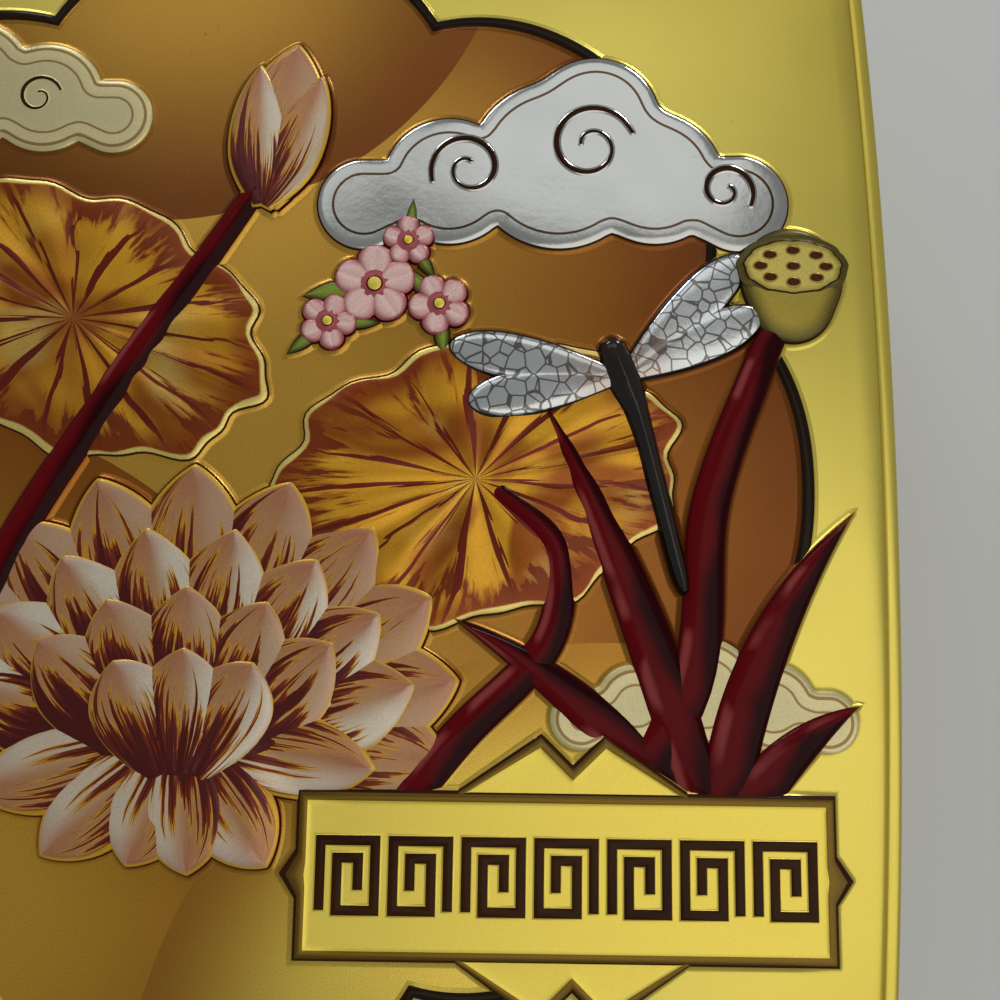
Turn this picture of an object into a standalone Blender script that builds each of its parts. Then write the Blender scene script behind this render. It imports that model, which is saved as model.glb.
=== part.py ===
"""A shut mooncake tin: a slip-over lid of embossed tinplate on its drawn base.

Metres, +Z up. The origin is the middle of the footprint, on the table.
The sides bow gently outwards between rounded corners, and the lid's top panel
carries raised pads: a lotus blossom with leaves, stems, reeds over rippled water,
clouds, a bud, a seed pod, a dragonfly and a plaque that holds a plain key fret.
"""

import math

import bmesh
import bpy
from mathutils import Matrix, Vector

MM = 0.001

# The tin as a whole.
WIDTH = 204 * MM                # across the middle of two opposite sides
HEIGHT = 56 * MM                # table to the lid's flat panel
SIDE_RADIUS = 1100 * MM         # how gently the sides bow outwards
CORNER_RADIUS = 16 * MM
SHEET = 0.3 * MM                # gauge of the tinplate
GAP = 0.3 * MM                  # clearance between neighbouring pieces
LEAN = 0.1 * MM                 # by which a pressed inner corner is eased

# Steps of the outline, for each side and each corner, and of each round in the profiles.
SIDE_STEPS = 8
CORNER_STEPS = 5
ROLL_STEPS = 4
RIM_STEPS = 5
HEM_STEPS = 4

# The lid's edge. An inset is a distance in from the widest outline.
ROLL_OFF_INSET = 6.0 * MM       # where the flat panel starts to roll off
CREASE_INSET = 2.4 * MM         # the sharp crease between panel and rim
CREASE_DROP = 0.9 * MM
RIM_HEIGHT = 0.55 * MM          # of the round rim over the crease
SKIRT_INSET = 0.4 * MM
SKIRT_TOP_DROP = 1.5 * MM
LID_DEPTH = 22 * MM
HEM_HEIGHT = 1.2 * MM

# The base and its seamed bottom.
WALL_INSET = SKIRT_INSET + SHEET + GAP
STOP_BEAD_HEIGHT = 1.8 * MM     # the bead that the lid comes down to
STOP_BEAD_PROUD = 0.7 * MM
BASE_TOP_DROP = 0.65 * MM
SEAM_HEIGHT = 3.0 * MM
SEAM_WIDTH = 1.7 * MM
SEAM_INSET = 0.2 * MM
SEAM_ROUND = 0.3 * MM
BOTTOM_RECESS = 1.5 * MM

# The embossing, as heights over the flat panel.
EMBED = 0.15 * MM               # how far a pad reaches down into the sheet
SHOULDER = 0.4 * MM             # width of each pad's bevelled edge
NARROW_SHOULDER = 0.2 * MM      # the same on ripples and wings
LEAF_RISE = 0.55 * MM
CLOUD_RISE = 0.75 * MM
CREAM_CLOUD_RISE = 0.5 * MM
STEM_RISE = 1.05 * MM
BUD_STEM_RISE = 1.3 * MM
REED_RISE = 1.15 * MM
RIPPLE_RISE = 1.3 * MM
PETAL_RISE = 0.85 * MM
PETAL_STEP = 0.25 * MM          # each ring of petals over the last
BUD_RISE = 1.05 * MM
POD_RISE = 1.5 * MM
FLOWER_RISE = 1.1 * MM
WING_RISE = 1.3 * MM
BODY_RISE = 1.6 * MM
PLAQUE_RISE = 0.7 * MM          # the plaque's field
FRAME_RISE = 0.92 * MM
CREST_SHARE = 0.85              # height of the crests as a share of the plaque's
FRET_RISE = 0.4 * MM            # over the field
HOOK_RISE = 0.35 * MM
LAYER_STEP = 0.05 * MM          # between pads of one kind that overlap
PETAL_NUDGE = 0.01 * MM         # between petals of one ring, so that no two tops are level

# The plaque, and the double-peaked crest above and below it.
PLAQUE_CENTRE = Vector((51.95, -57.2)) * MM
PLAQUE_SIZE = Vector((77.5, 23.7)) * MM
FRAME_WIDTH = 1.5 * MM
WING = 2.3 * MM                 # the small point at each end of the frame
CREST_SHIFT = 0.9 * MM          # of the crests from the plaque's middle
CREST = ((19.6, -2.0), (4.6, 8.2), (0.0, 3.8), (-4.6, 8.2), (-19.6, -2.0))

# The key fret on the plaque: squared spirals in a row, every second one mirrored.
FRET_PITCH = 10.4
FRET_COUNT = 7
FRET_HALF = 0.7                 # half the stroke's width
SPIRAL = (
    (-3.9, -4.8), (-3.9, 4.8), (3.9, 4.8), (3.9, -4.8),
    (-1.5, -4.8), (-1.5, 2.4), (1.5, 2.4), (1.5, -2.0),
)

# The hooked fret in each corner of the panel.
HOOK_HALF = 0.5
HOOK = (
    (83.2, 79.6), (79.6, 79.6), (79.6, 89.0), (89.0, 89.0), (89.0, 79.6),
    (86.2, 79.6), (86.2, 86.2), (82.4, 86.2), (82.4, 82.6),
)

BLOSSOM = Vector((-4.0, -36.0)) * MM
LOW_PETAL_LEVEL = 1.6           # of the petals that curl down in front, counted in rings

# The ripples, in millimetres.
WAVE_LENGTH = 11
WAVE_SWING = 0.9                # to each side of the ripple's middle line
RIPPLE_HALF = 1.0               # half the width at mid length
RIPPLE_TIP = 0.35               # and at the ends


def clear_scene():
    """Start from an empty scene."""
    for thing in list(bpy.data.objects):
        bpy.data.objects.remove(thing, do_unlink=True)


def painted_metal(name, colour, roughness):
    """A lacquered tinplate finish."""
    material = bpy.data.materials.new(name)
    material.use_nodes = True
    shader = material.node_tree.nodes["Principled BSDF"]
    shader.inputs["Base Color"].default_value = (*colour, 1.0)
    shader.inputs["Roughness"].default_value = roughness
    shader.inputs["Metallic"].default_value = 0.6
    return material


# --- The outline -----------------------------------------------------------

def corner_centre():
    """Distance along X and along Y of a corner arc's centre, which touches both sides."""
    side_shift = SIDE_RADIUS - WIDTH / 2
    reach = SIDE_RADIUS - CORNER_RADIUS
    return (math.sqrt(2 * reach ** 2 - side_shift ** 2) - side_shift) / 2


def outline(inset):
    """Points of the rounded, bowed square, moved in by an exact distance."""
    corner = corner_centre()
    side_shift = SIDE_RADIUS - WIDTH / 2
    turn = math.atan2(corner, corner + side_shift)
    points = []
    for quarter in range(4):
        start = quarter * math.pi / 2
        across = Vector((math.cos(start), math.sin(start)))
        along = Vector((-across.y, across.x))
        for step in range(SIDE_STEPS):
            angle = start - turn + 2 * turn * step / SIDE_STEPS
            ray = Vector((math.cos(angle), math.sin(angle)))
            points.append(-across * side_shift + ray * (SIDE_RADIUS - inset))
        for step in range(CORNER_STEPS):
            angle = start + turn + (math.pi / 2 - 2 * turn) * step / CORNER_STEPS
            ray = Vector((math.cos(angle), math.sin(angle)))
            points.append((across + along) * corner + ray * (CORNER_RADIUS - inset))
    return points


def ring_loft(name, profile):
    """A closed body: rings of the outline at (inset, z), with a flat cap at each end."""
    mesh = bmesh.new()
    rings = []
    for inset, z in profile:
        rings.append([mesh.verts.new((p.x, p.y, z)) for p in outline(inset)])
    for upper, lower in zip(rings, rings[1:]):
        for i in range(len(upper)):
            j = (i + 1) % len(upper)
            mesh.faces.new((upper[i], lower[i], lower[j], upper[j]))
    mesh.faces.new(rings[0])
    mesh.faces.new(list(reversed(rings[-1])))
    return finish(mesh, name)


def finish(mesh, name):
    """Turn a bmesh into a linked object with its faces pointing out."""
    bmesh.ops.recalc_face_normals(mesh, faces=mesh.faces)
    data = bpy.data.meshes.new(name)
    mesh.to_mesh(data)
    mesh.free()
    thing = bpy.data.objects.new(name, data)
    bpy.context.collection.objects.link(thing)
    return thing


# --- The tin's three pieces ------------------------------------------------

def lid_profile():
    """The lid's sheet, from the flat panel over the rim, down the skirt and back up inside."""
    panel = HEIGHT
    profile = []
    for step in range(ROLL_STEPS):
        angle = math.pi / 2 * step / ROLL_STEPS
        run = (ROLL_OFF_INSET - CREASE_INSET) * math.sin(angle)
        fall = CREASE_DROP * (1 - math.cos(angle))
        profile.append((ROLL_OFF_INSET - run, panel - fall))
    for step in range(RIM_STEPS + 1):
        angle = math.pi * step / RIM_STEPS
        rise = RIM_HEIGHT * math.sin(angle)
        lean = (SKIRT_TOP_DROP - CREASE_DROP) * step / RIM_STEPS
        profile.append((CREASE_INSET * (1 + math.cos(angle)) / 2, panel - CREASE_DROP + rise - lean))
    hem = panel - LID_DEPTH
    profile.append((SKIRT_INSET, panel - SKIRT_TOP_DROP - SKIRT_INSET))
    profile.append((SKIRT_INSET, hem + HEM_HEIGHT))
    for step in range(1, HEM_STEPS):
        angle = math.pi * step / HEM_STEPS
        profile.append((SKIRT_INSET * (1 - math.sin(angle)), hem + HEM_HEIGHT * (1 + math.cos(angle)) / 2))
    profile.append((SKIRT_INSET, hem))
    inside = SKIRT_INSET + SHEET
    profile.append((inside, hem))
    profile.append((inside, panel - SKIRT_TOP_DROP - SHEET))
    profile.append((CREASE_INSET, panel - CREASE_DROP - SHEET - LEAN))
    profile.append((ROLL_OFF_INSET, panel - SHEET))
    return profile


def base_profile():
    """The base, solid: its shoulder under the lid, wall, stop bead and foot."""
    hem = HEIGHT - LID_DEPTH
    bead_top = hem - GAP
    profile = [
        (ROLL_OFF_INSET + GAP, HEIGHT - BASE_TOP_DROP),
        (WALL_INSET, HEIGHT - SKIRT_TOP_DROP - SHEET - GAP),
        (WALL_INSET, bead_top),
    ]
    for step in range(1, HEM_STEPS):
        angle = math.pi * step / HEM_STEPS
        drop = STOP_BEAD_HEIGHT * (1 - math.cos(angle)) / 2
        profile.append((WALL_INSET - STOP_BEAD_PROUD * math.sin(angle), bead_top - drop))
    step_inset = SEAM_INSET + SEAM_WIDTH + SHEET + GAP
    profile += [
        (WALL_INSET, bead_top - STOP_BEAD_HEIGHT),
        (WALL_INSET, SEAM_HEIGHT + GAP),
        (step_inset, SEAM_HEIGHT + GAP),
        (step_inset, BOTTOM_RECESS + SHEET + GAP),
    ]
    return profile


def bottom_profile():
    """The bottom panel with the rolled seam round it, which the tin stands on."""
    inner = SEAM_INSET + SEAM_WIDTH
    return [
        (inner + SHEET - LEAN, BOTTOM_RECESS + SHEET),
        (inner, SEAM_HEIGHT - SEAM_ROUND),
        (inner - SEAM_ROUND, SEAM_HEIGHT),
        (SEAM_INSET + SEAM_ROUND, SEAM_HEIGHT),
        (SEAM_INSET, SEAM_HEIGHT - SEAM_ROUND),
        (SEAM_INSET, SEAM_ROUND),
        (SEAM_INSET + SEAM_ROUND, 0.0),
        (inner, 0.0),
        (inner + SHEET, SEAM_ROUND),
        (inner + SHEET, BOTTOM_RECESS),
    ]


# --- Outlines of the embossed pads -----------------------------------------

def petal(base, heading, length, width, bend=0.0, widest=0.6, root=0.35, tip=0.8, steps=6):
    """A petal or blade whose spine turns by bend degrees; tip is 0.5 for a round end, 1 for a point."""
    left = []
    right = []
    point = Vector(base)
    for step in range(steps + 1):
        share = step / steps
        angle = math.radians(heading + bend * share)
        way = Vector((math.cos(angle), math.sin(angle)))
        if share < widest:
            swell = math.sin(math.pi / 2 * share / widest)
            half = root + (1 - root) * swell
        else:
            half = max(0.0, 1 - ((share - widest) / (1 - widest)) ** 2) ** tip
        side = Vector((-way.y, way.x)) * half * width / 2
        left.append(point + side)
        if half > 0.0:
            right.append(point - side)
        point = point + way * length / steps
    return left + right[::-1]


def smooth_path(points, steps):
    """Points (x, y, half width) joined by a smooth curve through all of them."""
    ends = [points[0], *points, points[-1]]
    path = []
    for before, start, stop, after in zip(ends, ends[1:], ends[2:], ends[3:]):
        for step in range(steps):
            t = step / steps
            path.append(tuple(
                0.5 * (2 * b + (c - a) * t + (2 * a - 5 * b + 4 * c - d) * t ** 2
                       + (3 * b - a - 3 * c + d) * t ** 3)
                for a, b, c, d in zip(before, start, stop, after)))
    path.append(points[-1])
    return path


def band(points, steps=2):
    """A stem: a strip of changing width along a smooth path, given in millimetres."""
    path = smooth_path(points, steps)
    left = []
    right = []
    for i, (x, y, half) in enumerate(path):
        before = path[max(0, i - 1)]
        after = path[min(len(path) - 1, i + 1)]
        way = Vector((after[0] - before[0], after[1] - before[1])).normalized()
        side = Vector((-way.y, way.x)) * half
        left.append((Vector((x, y)) + side) * MM)
        right.append((Vector((x, y)) - side) * MM)
    return left + right[::-1]


def puffs(centre, circles, steps=32):
    """A cloud: the outer line of some round puffs (x, y, radius), in millimetres."""
    points = []
    for step in range(steps):
        angle = 2 * math.pi * step / steps
        ray = Vector((math.cos(angle), math.sin(angle)))
        reach = 0.0
        for x, y, radius in circles:
            ahead = x * ray.x + y * ray.y
            inside = radius ** 2 - x ** 2 - y ** 2 + ahead ** 2
            if inside > 0:
                reach = max(reach, ahead + math.sqrt(inside))
        points.append((Vector(centre) + ray * reach) * MM)
    return points


def leaf(centre, half_length, half_width, turn, waves=9, depth=0.045, phase=0.0, steps=27):
    """A round lotus leaf with a wavy edge, in millimetres and degrees."""
    points = []
    tilt = math.radians(turn)
    for step in range(steps):
        angle = 2 * math.pi * step / steps
        swell = 1 + depth * math.sin(waves * angle + phase)
        x = half_length * swell * math.cos(angle)
        y = half_width * swell * math.sin(angle)
        turned = Vector((x * math.cos(tilt) - y * math.sin(tilt), x * math.sin(tilt) + y * math.cos(tilt)))
        points.append((Vector(centre) + turned) * MM)
    return points


def blossom_ring(count, spread, length, width, shift):
    """Outlines of one ring of the blossom's petals, the outermost ones first."""
    middle = (count - 1) / 2
    outlines = []
    for index in sorted(range(count), key=lambda i: -abs(i - middle)):
        heading = 90 + (index - middle) * spread
        lean = math.cos(math.radians((heading - 90) * 0.62))
        base = BLOSSOM + Vector((5 * math.cos(math.radians(heading)), shift)) * MM
        outlines.append(petal(base, heading, length * (0.86 + 0.14 * lean) * MM, width * MM))
    return outlines


def plaque_outline():
    """The plaque's frame: a rectangle with a small point at each end."""
    half = PLAQUE_SIZE / 2
    quarter = [(half.x, WING), (half.x, half.y), (-half.x, half.y), (-half.x, WING)]
    upper = [Vector(p) for p in quarter]
    lower = [Vector((-x, -y)) for x, y in quarter]
    right = [Vector((half.x + WING, 0.0))]
    left = [Vector((-half.x - WING, 0.0))]
    return [PLAQUE_CENTRE + p for p in right + upper + left + lower]


def mitred(points, inset):
    """A closed outline, drawn anticlockwise, moved in by a distance with mitred corners."""
    moved = []
    for i, point in enumerate(points):
        before = (point - points[i - 1]).normalized()
        after = (points[(i + 1) % len(points)] - point).normalized()
        left = Vector((-before.y, before.x)) + Vector((-after.y, after.x))
        moved.append(point + left * inset / (1 + before.dot(after)))
    return moved


def crest_outline(side, inset=0.0):
    """A crest's outline; side is 1 above the plaque and -1 below it."""
    points = mitred([Vector(p) * MM for p in CREST], inset)
    middle = PLAQUE_CENTRE + Vector((CREST_SHIFT, side * PLAQUE_SIZE.y / 2))
    return [middle + Vector((p.x, side * p.y)) for p in points]


def stroke(path, half):
    """A flat-ended stroke along straight runs with square corners, in millimetres."""
    path = [Vector(p) for p in path]
    runs = [(b - a).normalized() for a, b in zip(path, path[1:])]
    sides = [Vector((-run.y, run.x)) for run in runs]
    offsets = [sides[0]]
    for before, after in zip(sides, sides[1:]):
        offsets.append((before + after) / (1 + before.dot(after)))
    offsets.append(sides[-1])
    left = [(p + o * half) * MM for p, o in zip(path, offsets)]
    right = [(p - o * half) * MM for p, o in zip(path, offsets)]
    return left + right[::-1]


# --- Raising the pads ------------------------------------------------------

def pad(name, points, rise, shoulder=SHOULDER, base=0.0):
    """A raised pad, bevelled if its shoulder has a width, which reaches down into what it stands on."""
    mesh = bmesh.new()
    foot = [mesh.verts.new((p.x, p.y, HEIGHT + base - EMBED)) for p in points]
    face = mesh.faces.new(foot)
    bmesh.ops.recalc_face_normals(mesh, faces=mesh.faces)
    if face.normal.z < 0:
        face.normal_flip()
    underside = face.copy()
    underside.normal_flip()
    drop = min(rise, shoulder) / 2
    made = bmesh.ops.extrude_discrete_faces(mesh, faces=[face])
    top = made["faces"][0]
    bmesh.ops.translate(mesh, verts=top.verts, vec=(0, 0, EMBED + rise - drop))
    if shoulder > 0.0:
        bmesh.ops.inset_region(mesh, faces=[top], thickness=shoulder, depth=drop, use_even_offset=True)
    bmesh.ops.remove_doubles(mesh, verts=mesh.verts, dist=0.01 * MM)
    return finish(mesh, name)


def leaf_pads():
    """Three lotus leaves with wavy edges."""
    return [
        pad("leaf_pad_left", leaf((-62, -30), 30, 20, 20, phase=2.0), LEAF_RISE),
        pad("leaf_pad_middle", leaf((-24, 24), 31, 20, -22, phase=1.0), LEAF_RISE + LAYER_STEP),
        pad("leaf_pad_right", leaf((38, 0), 31, 21, 12), LEAF_RISE + 2 * LAYER_STEP),
    ]


def cloud_pads():
    """One large silver cloud and two small cream ones."""
    large = [(0, 0, 14), (-17, -3, 10.5), (-30, -7, 7.5), (15, -2, 11), (28, -6, 8), (6, 8, 10)]
    small = [(0, 0, 8), (-10, -2, 6), (-18, -4, 4.5), (10, -2, 6.5), (18, -4, 4.5)]
    left = [(0, 0, 11), (-14, -3, 8), (13, -2, 9), (24, -5, 6)]
    return [
        pad("cloud_pad_large", puffs((50, 50), large), CLOUD_RISE),
        pad("cloud_pad_small", puffs((72, -31), small), CREAM_CLOUD_RISE),
        pad("cloud_pad_left", puffs((-44, 62), left), CREAM_CLOUD_RISE),
    ]


def reed_pads(name, root, reeds):
    """A tuft of pointed blades (heading, length, width, bend) from one root, in millimetres."""
    pads = []
    for number, (heading, length, width, bend) in enumerate(reeds):
        blade = petal(
            Vector((root[0] + number, root[1])) * MM, heading, length * MM, width * MM, bend,
            widest=0.3, root=0.7, steps=7)
        pads.append(pad(f"{name}_{number}", blade, REED_RISE + LAYER_STEP * number))
    return pads


def stem_pads():
    """Stems of the bud, the pod and a leaf, and two tufts of reeds."""
    bud = [(-30, -88, 3.2), (-37, -62, 3.0), (-35, -22, 2.7), (-18, 12, 2.4), (-4, 34, 2.1), (3, 45, 1.8)]
    seed_pod = [(56, -53, 3.4), (70, -30, 3.2), (73, -4, 2.9), (80, 16, 2.5), (85, 27, 2.0)]
    young_leaf = [(24, -53, 3.0), (36, -38, 2.8), (49, -24, 2.5), (50, -10, 2.1), (42, -2, 1.5)]
    right = [(124, 50, 6.6, 30), (104, 70, 7.2, 14), (86, 54, 7.6, -38), (66, 29, 7.0, -40)]
    left = [(128, 34, 5.6, 24), (104, 50, 6.4, 12), (76, 34, 5.8, -26)]
    pads = [
        pad("bud_stem_pad", band(bud), BUD_STEM_RISE),
        pad("seed_pod_stem_pad", band(seed_pod), STEM_RISE + LAYER_STEP),
        pad("young_leaf_pad", band(young_leaf), STEM_RISE),
    ]
    pads += reed_pads("right_reed_pad", (72, -53), right)
    pads += reed_pads("left_reed_pad", (-64, -84), left)
    return pads


def ripple_pads():
    """Three wavy lines of water at the foot of the left stems."""
    pads = []
    for number, (x, y, length) in enumerate(((-72, -79, 56), (-56, -85, 62), (-44, -91, 48))):
        waves = round(length / WAVE_LENGTH)
        path = []
        for step in range(2 * waves + 1):
            share = step / (2 * waves)
            half = RIPPLE_TIP + (RIPPLE_HALF - RIPPLE_TIP) * math.sin(math.pi * share)
            path.append((x + length * share, y + (WAVE_SWING if step % 2 else -WAVE_SWING), half))
        rise = RIPPLE_RISE - LAYER_STEP * number
        pads.append(pad(f"ripple_pad_{number}", band(path, 1), rise, NARROW_SHOULDER))
    return pads


def blossom_pads():
    """The blossom's rings of petals, each ring a step above the one outside it."""
    rings = [(11, 20, 38, 18, 0), (8, 21, 32, 16, -3), (5, 23, 26, 15, -6), (3, 26, 19, 14, -8)]
    pads = []
    for level, (count, spread, length, width, shift) in enumerate(rings):
        for number, points in enumerate(blossom_ring(count, spread, length, width, shift)):
            rise = PETAL_RISE + level * PETAL_STEP + PETAL_NUDGE * number
            pads.append(pad(f"petal_pad_{level}_{number}", points, rise))
    low = [(196, 31), (-9, 29), (222, 26), (-54, 23), (250, 20), (-84, 20)]
    for number, (heading, length) in enumerate(low):
        points = petal(BLOSSOM - Vector((0, 2)) * MM, heading, length * MM, 13 * MM, root=0.4)
        rise = PETAL_RISE + LOW_PETAL_LEVEL * PETAL_STEP + PETAL_NUDGE * number
        pads.append(pad(f"low_petal_pad_{number}", points, rise))
    return pads


def small_pads():
    """The bud, the seed pod, four small flowers and the dragonfly."""
    bud = Vector((4, 42)) * MM
    pads = [
        pad("bud_pad_back", petal(bud, 80, 28 * MM, 16 * MM, widest=0.4), BUD_RISE),
        pad("bud_pad_left", petal(bud, 98, 24 * MM, 10 * MM, -12, widest=0.4), BUD_RISE + 5 * LAYER_STEP),
        pad("bud_pad_right", petal(bud, 62, 24 * MM, 10 * MM, 12, widest=0.4), BUD_RISE + 4 * LAYER_STEP),
        pad("seed_pod_pad", puffs((86, 28), [(0, 0, 6.5), (0, 4, 8)], steps=20), POD_RISE),
    ]
    flowers = [(22, 30, 6.5), (32, 27, 5.0), (15, 24, 4.6), (27, 37, 4.2)]
    for number, (x, y, radius) in enumerate(flowers):
        points = leaf((x, y), radius * 0.9, radius * 0.9, 0, waves=5, depth=0.12, phase=x, steps=15)
        pads.append(pad(f"flower_pad_{number}", points, FLOWER_RISE + LAYER_STEP * number))
    thorax = Vector((60, 16)) * MM
    wings = [(46, 27), (26, 24), (170, 27), (190, 24)]
    for number, (heading, length) in enumerate(wings):
        points = petal(thorax, heading, length * MM, 7.5 * MM, widest=0.66, root=0.3, tip=0.5)
        pads.append(pad(f"wing_pad_{number}", points, WING_RISE + LAYER_STEP * number, NARROW_SHOULDER))
    body = [(58.6, 20, 2.3), (60.5, 15, 2.6), (63, 8, 1.7), (68, -12, 1.4), (69, -16, 0.9)]
    pads.append(pad("dragonfly_pad", band(body), BODY_RISE))
    return pads


def plaque_pads():
    """The plaque's frame and its two crests, still filled in, and the hooked frets in the corners."""
    pads = [
        pad("crest_pad_above", crest_outline(1), FRAME_RISE * CREST_SHARE),
        pad("crest_pad_below", crest_outline(-1), FRAME_RISE * CREST_SHARE),
        pad("plaque_frame_pad", plaque_outline(), FRAME_RISE),
    ]
    for quarter in range(4):
        turn = Matrix.Rotation(quarter * math.pi / 2, 2)
        hook = [turn @ Vector(p) for p in HOOK]
        pads.append(pad(f"hook_pad_{quarter}", stroke(hook, HOOK_HALF), HOOK_RISE, 0.0))
    return pads


def fret_pads():
    """The key fret, which stands on the plaque's field."""
    pads = []
    for number in range(FRET_COUNT):
        flip = -1 if number % 2 else 1
        middle = (number - (FRET_COUNT - 1) / 2) * FRET_PITCH
        centre = PLAQUE_CENTRE / MM + Vector((middle, 0.0))
        spiral = [centre + Vector((flip * x, y)) for x, y in SPIRAL]
        pads.append(pad(f"fret_pad_{number}", stroke(spiral, FRET_HALF), FRET_RISE, 0.0, PLAQUE_RISE))
    return pads


def field_cutter(name, points, height):
    """A block over a field, which leaves the field at a height over the panel."""
    mesh = bmesh.new()
    face = mesh.faces.new([mesh.verts.new((p.x, p.y, HEIGHT + height)) for p in points])
    made = bmesh.ops.extrude_face_region(mesh, geom=[face])
    top = [v for v in made["geom"] if isinstance(v, bmesh.types.BMVert)]
    bmesh.ops.translate(mesh, verts=top, vec=(0, 0, 10 * MM))
    return finish(mesh, name)


def field_cutters():
    """What is taken out of the frames' pads, to leave their sunken fields."""
    half = PLAQUE_SIZE / 2 - Vector((FRAME_WIDTH, FRAME_WIDTH))
    corners = [(half.x, half.y), (-half.x, half.y), (-half.x, -half.y), (half.x, -half.y)]
    cutters = [field_cutter("plaque_field_cutter", [PLAQUE_CENTRE + Vector(p) for p in corners], PLAQUE_RISE)]
    for side in (1, -1):
        points = crest_outline(side, FRAME_WIDTH)
        cutters.append(field_cutter(f"crest_field_cutter_{side}", points, PLAQUE_RISE * CREST_SHARE))
    return cutters


# --- Putting it together ---------------------------------------------------

def cut_or_join(target, tool, operation):
    """Hide a tool shape and give the target a Boolean with it."""
    tool.hide_render = True
    tool.display_type = "WIRE"
    boolean = target.modifiers.new(tool.name, "BOOLEAN")
    boolean.operation = operation
    boolean.object = tool


def build():
    clear_scene()
    lid = ring_loft("lid", lid_profile())
    lid.data.materials.append(painted_metal("gold_lacquered_tinplate", (0.60, 0.46, 0.13), 0.35))
    pads = leaf_pads() + cloud_pads() + stem_pads() + ripple_pads() + blossom_pads() + small_pads()
    for tool in pads + plaque_pads():
        cut_or_join(lid, tool, "UNION")
    for tool in field_cutters():
        cut_or_join(lid, tool, "DIFFERENCE")
    for tool in fret_pads():
        cut_or_join(lid, tool, "UNION")
    base = ring_loft("base", base_profile())
    base.data.materials.append(painted_metal("gold_lacquered_base", (0.55, 0.41, 0.11), 0.38))
    bottom = ring_loft("bottom", bottom_profile())
    bottom.data.materials.append(painted_metal("bare_tinplate", (0.55, 0.54, 0.50), 0.4))


build()
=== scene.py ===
# %% Load the frame
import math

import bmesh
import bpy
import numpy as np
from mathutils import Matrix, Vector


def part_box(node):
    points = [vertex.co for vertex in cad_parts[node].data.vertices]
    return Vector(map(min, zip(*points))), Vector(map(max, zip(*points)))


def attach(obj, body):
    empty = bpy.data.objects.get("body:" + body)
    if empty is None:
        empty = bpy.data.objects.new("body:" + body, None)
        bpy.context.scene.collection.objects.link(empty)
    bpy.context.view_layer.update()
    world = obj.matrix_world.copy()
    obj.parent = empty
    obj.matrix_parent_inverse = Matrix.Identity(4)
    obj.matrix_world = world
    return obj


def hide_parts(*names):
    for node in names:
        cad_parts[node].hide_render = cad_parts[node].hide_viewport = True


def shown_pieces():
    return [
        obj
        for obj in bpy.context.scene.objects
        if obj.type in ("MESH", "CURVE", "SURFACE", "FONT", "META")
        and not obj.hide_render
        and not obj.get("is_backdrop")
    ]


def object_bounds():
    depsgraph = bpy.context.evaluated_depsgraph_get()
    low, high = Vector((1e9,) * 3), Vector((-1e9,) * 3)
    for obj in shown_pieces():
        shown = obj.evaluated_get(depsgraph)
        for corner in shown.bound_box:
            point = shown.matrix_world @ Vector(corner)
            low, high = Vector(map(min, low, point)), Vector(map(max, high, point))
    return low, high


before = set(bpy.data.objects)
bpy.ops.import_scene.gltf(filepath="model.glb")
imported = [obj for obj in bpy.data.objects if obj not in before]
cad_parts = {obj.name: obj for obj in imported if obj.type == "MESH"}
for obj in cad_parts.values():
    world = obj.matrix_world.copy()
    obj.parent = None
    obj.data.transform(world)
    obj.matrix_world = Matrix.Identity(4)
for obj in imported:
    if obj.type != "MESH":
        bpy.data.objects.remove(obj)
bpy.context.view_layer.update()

# %% [markdown]
# The object is a shut, square mooncake tin: a slip-over lid of printed and embossed tinplate on a
# seamed base. The tin was modelled at its real size beforehand, so every measure here starts from
# that frame. Millimetres are easier to read for a thing this small, so one constant turns them
# into Blender's metres.

MM = 0.001
lid_low, lid_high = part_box("lid")
WIDTH = lid_high.x - lid_low.x
PANEL = 56 * MM                 # height of the lid's flat panel; the embossing stands over it
HEM = PANEL - 22 * MM           # the lid's lower edge
print("tin", round(WIDTH / MM, 1), "mm wide, panel at", round(PANEL / MM, 1), "mm")

# %% [markdown]
# Colours are written as sRGB hex values, the way a printer's swatch gives them, and one function
# turns them to the linear values that shaders work in. A second one adds a shader node: its settings
# come as a dictionary, and its inputs in order or by name, each a value, a hex colour or another
# node's output. The settings that come up again and again have short names of their own.

# %% Helpers for finishes
SMOOTH = {"interpolation_type": "SMOOTHSTEP"}
INK = {"data_type": "RGBA"}     # mixes the second colour over the first
TINT = {"data_type": "RGBA", "blend_type": "MULTIPLY"}
PLUS, MINUS, TIMES, TIMES_PLUS, SIZE, ABOVE, BELOW, FOLD = ({"operation": name} for name in (
    "ADD", "SUBTRACT", "MULTIPLY", "MULTIPLY_ADD", "ABSOLUTE", "GREATER_THAN", "LESS_THAN", "PINGPONG"))


def swatch(hex_code):
    """An sRGB hex colour as linear RGBA."""
    channels = [int(hex_code[i:i + 2], 16) / 255 for i in (1, 3, 5)]
    linear = [c / 12.92 if c <= 0.04045 else ((c + 0.055) / 1.055) ** 2.4 for c in channels]
    return (*linear, 1.0)


def add(tree, kind, settings=None, *values, output=None, **named):
    """Adds a node and returns the output asked for, or else its first output in use."""
    node = tree.nodes.new("ShaderNode" + kind)
    for key, value in (settings or {}).items():
        setattr(node, key, value)
    pairs = list(zip([s for s in node.inputs if s.enabled], values))
    pairs += [(node.inputs[key.replace("_", " ")], value) for key, value in named.items()]
    for socket, value in pairs:
        if isinstance(value, bpy.types.NodeSocket):
            tree.links.new(value, socket)
        else:
            socket.default_value = swatch(value) if isinstance(value, str) else value
    return node.outputs[output] if output else next((o for o in node.outputs if o.enabled), None)


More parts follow.
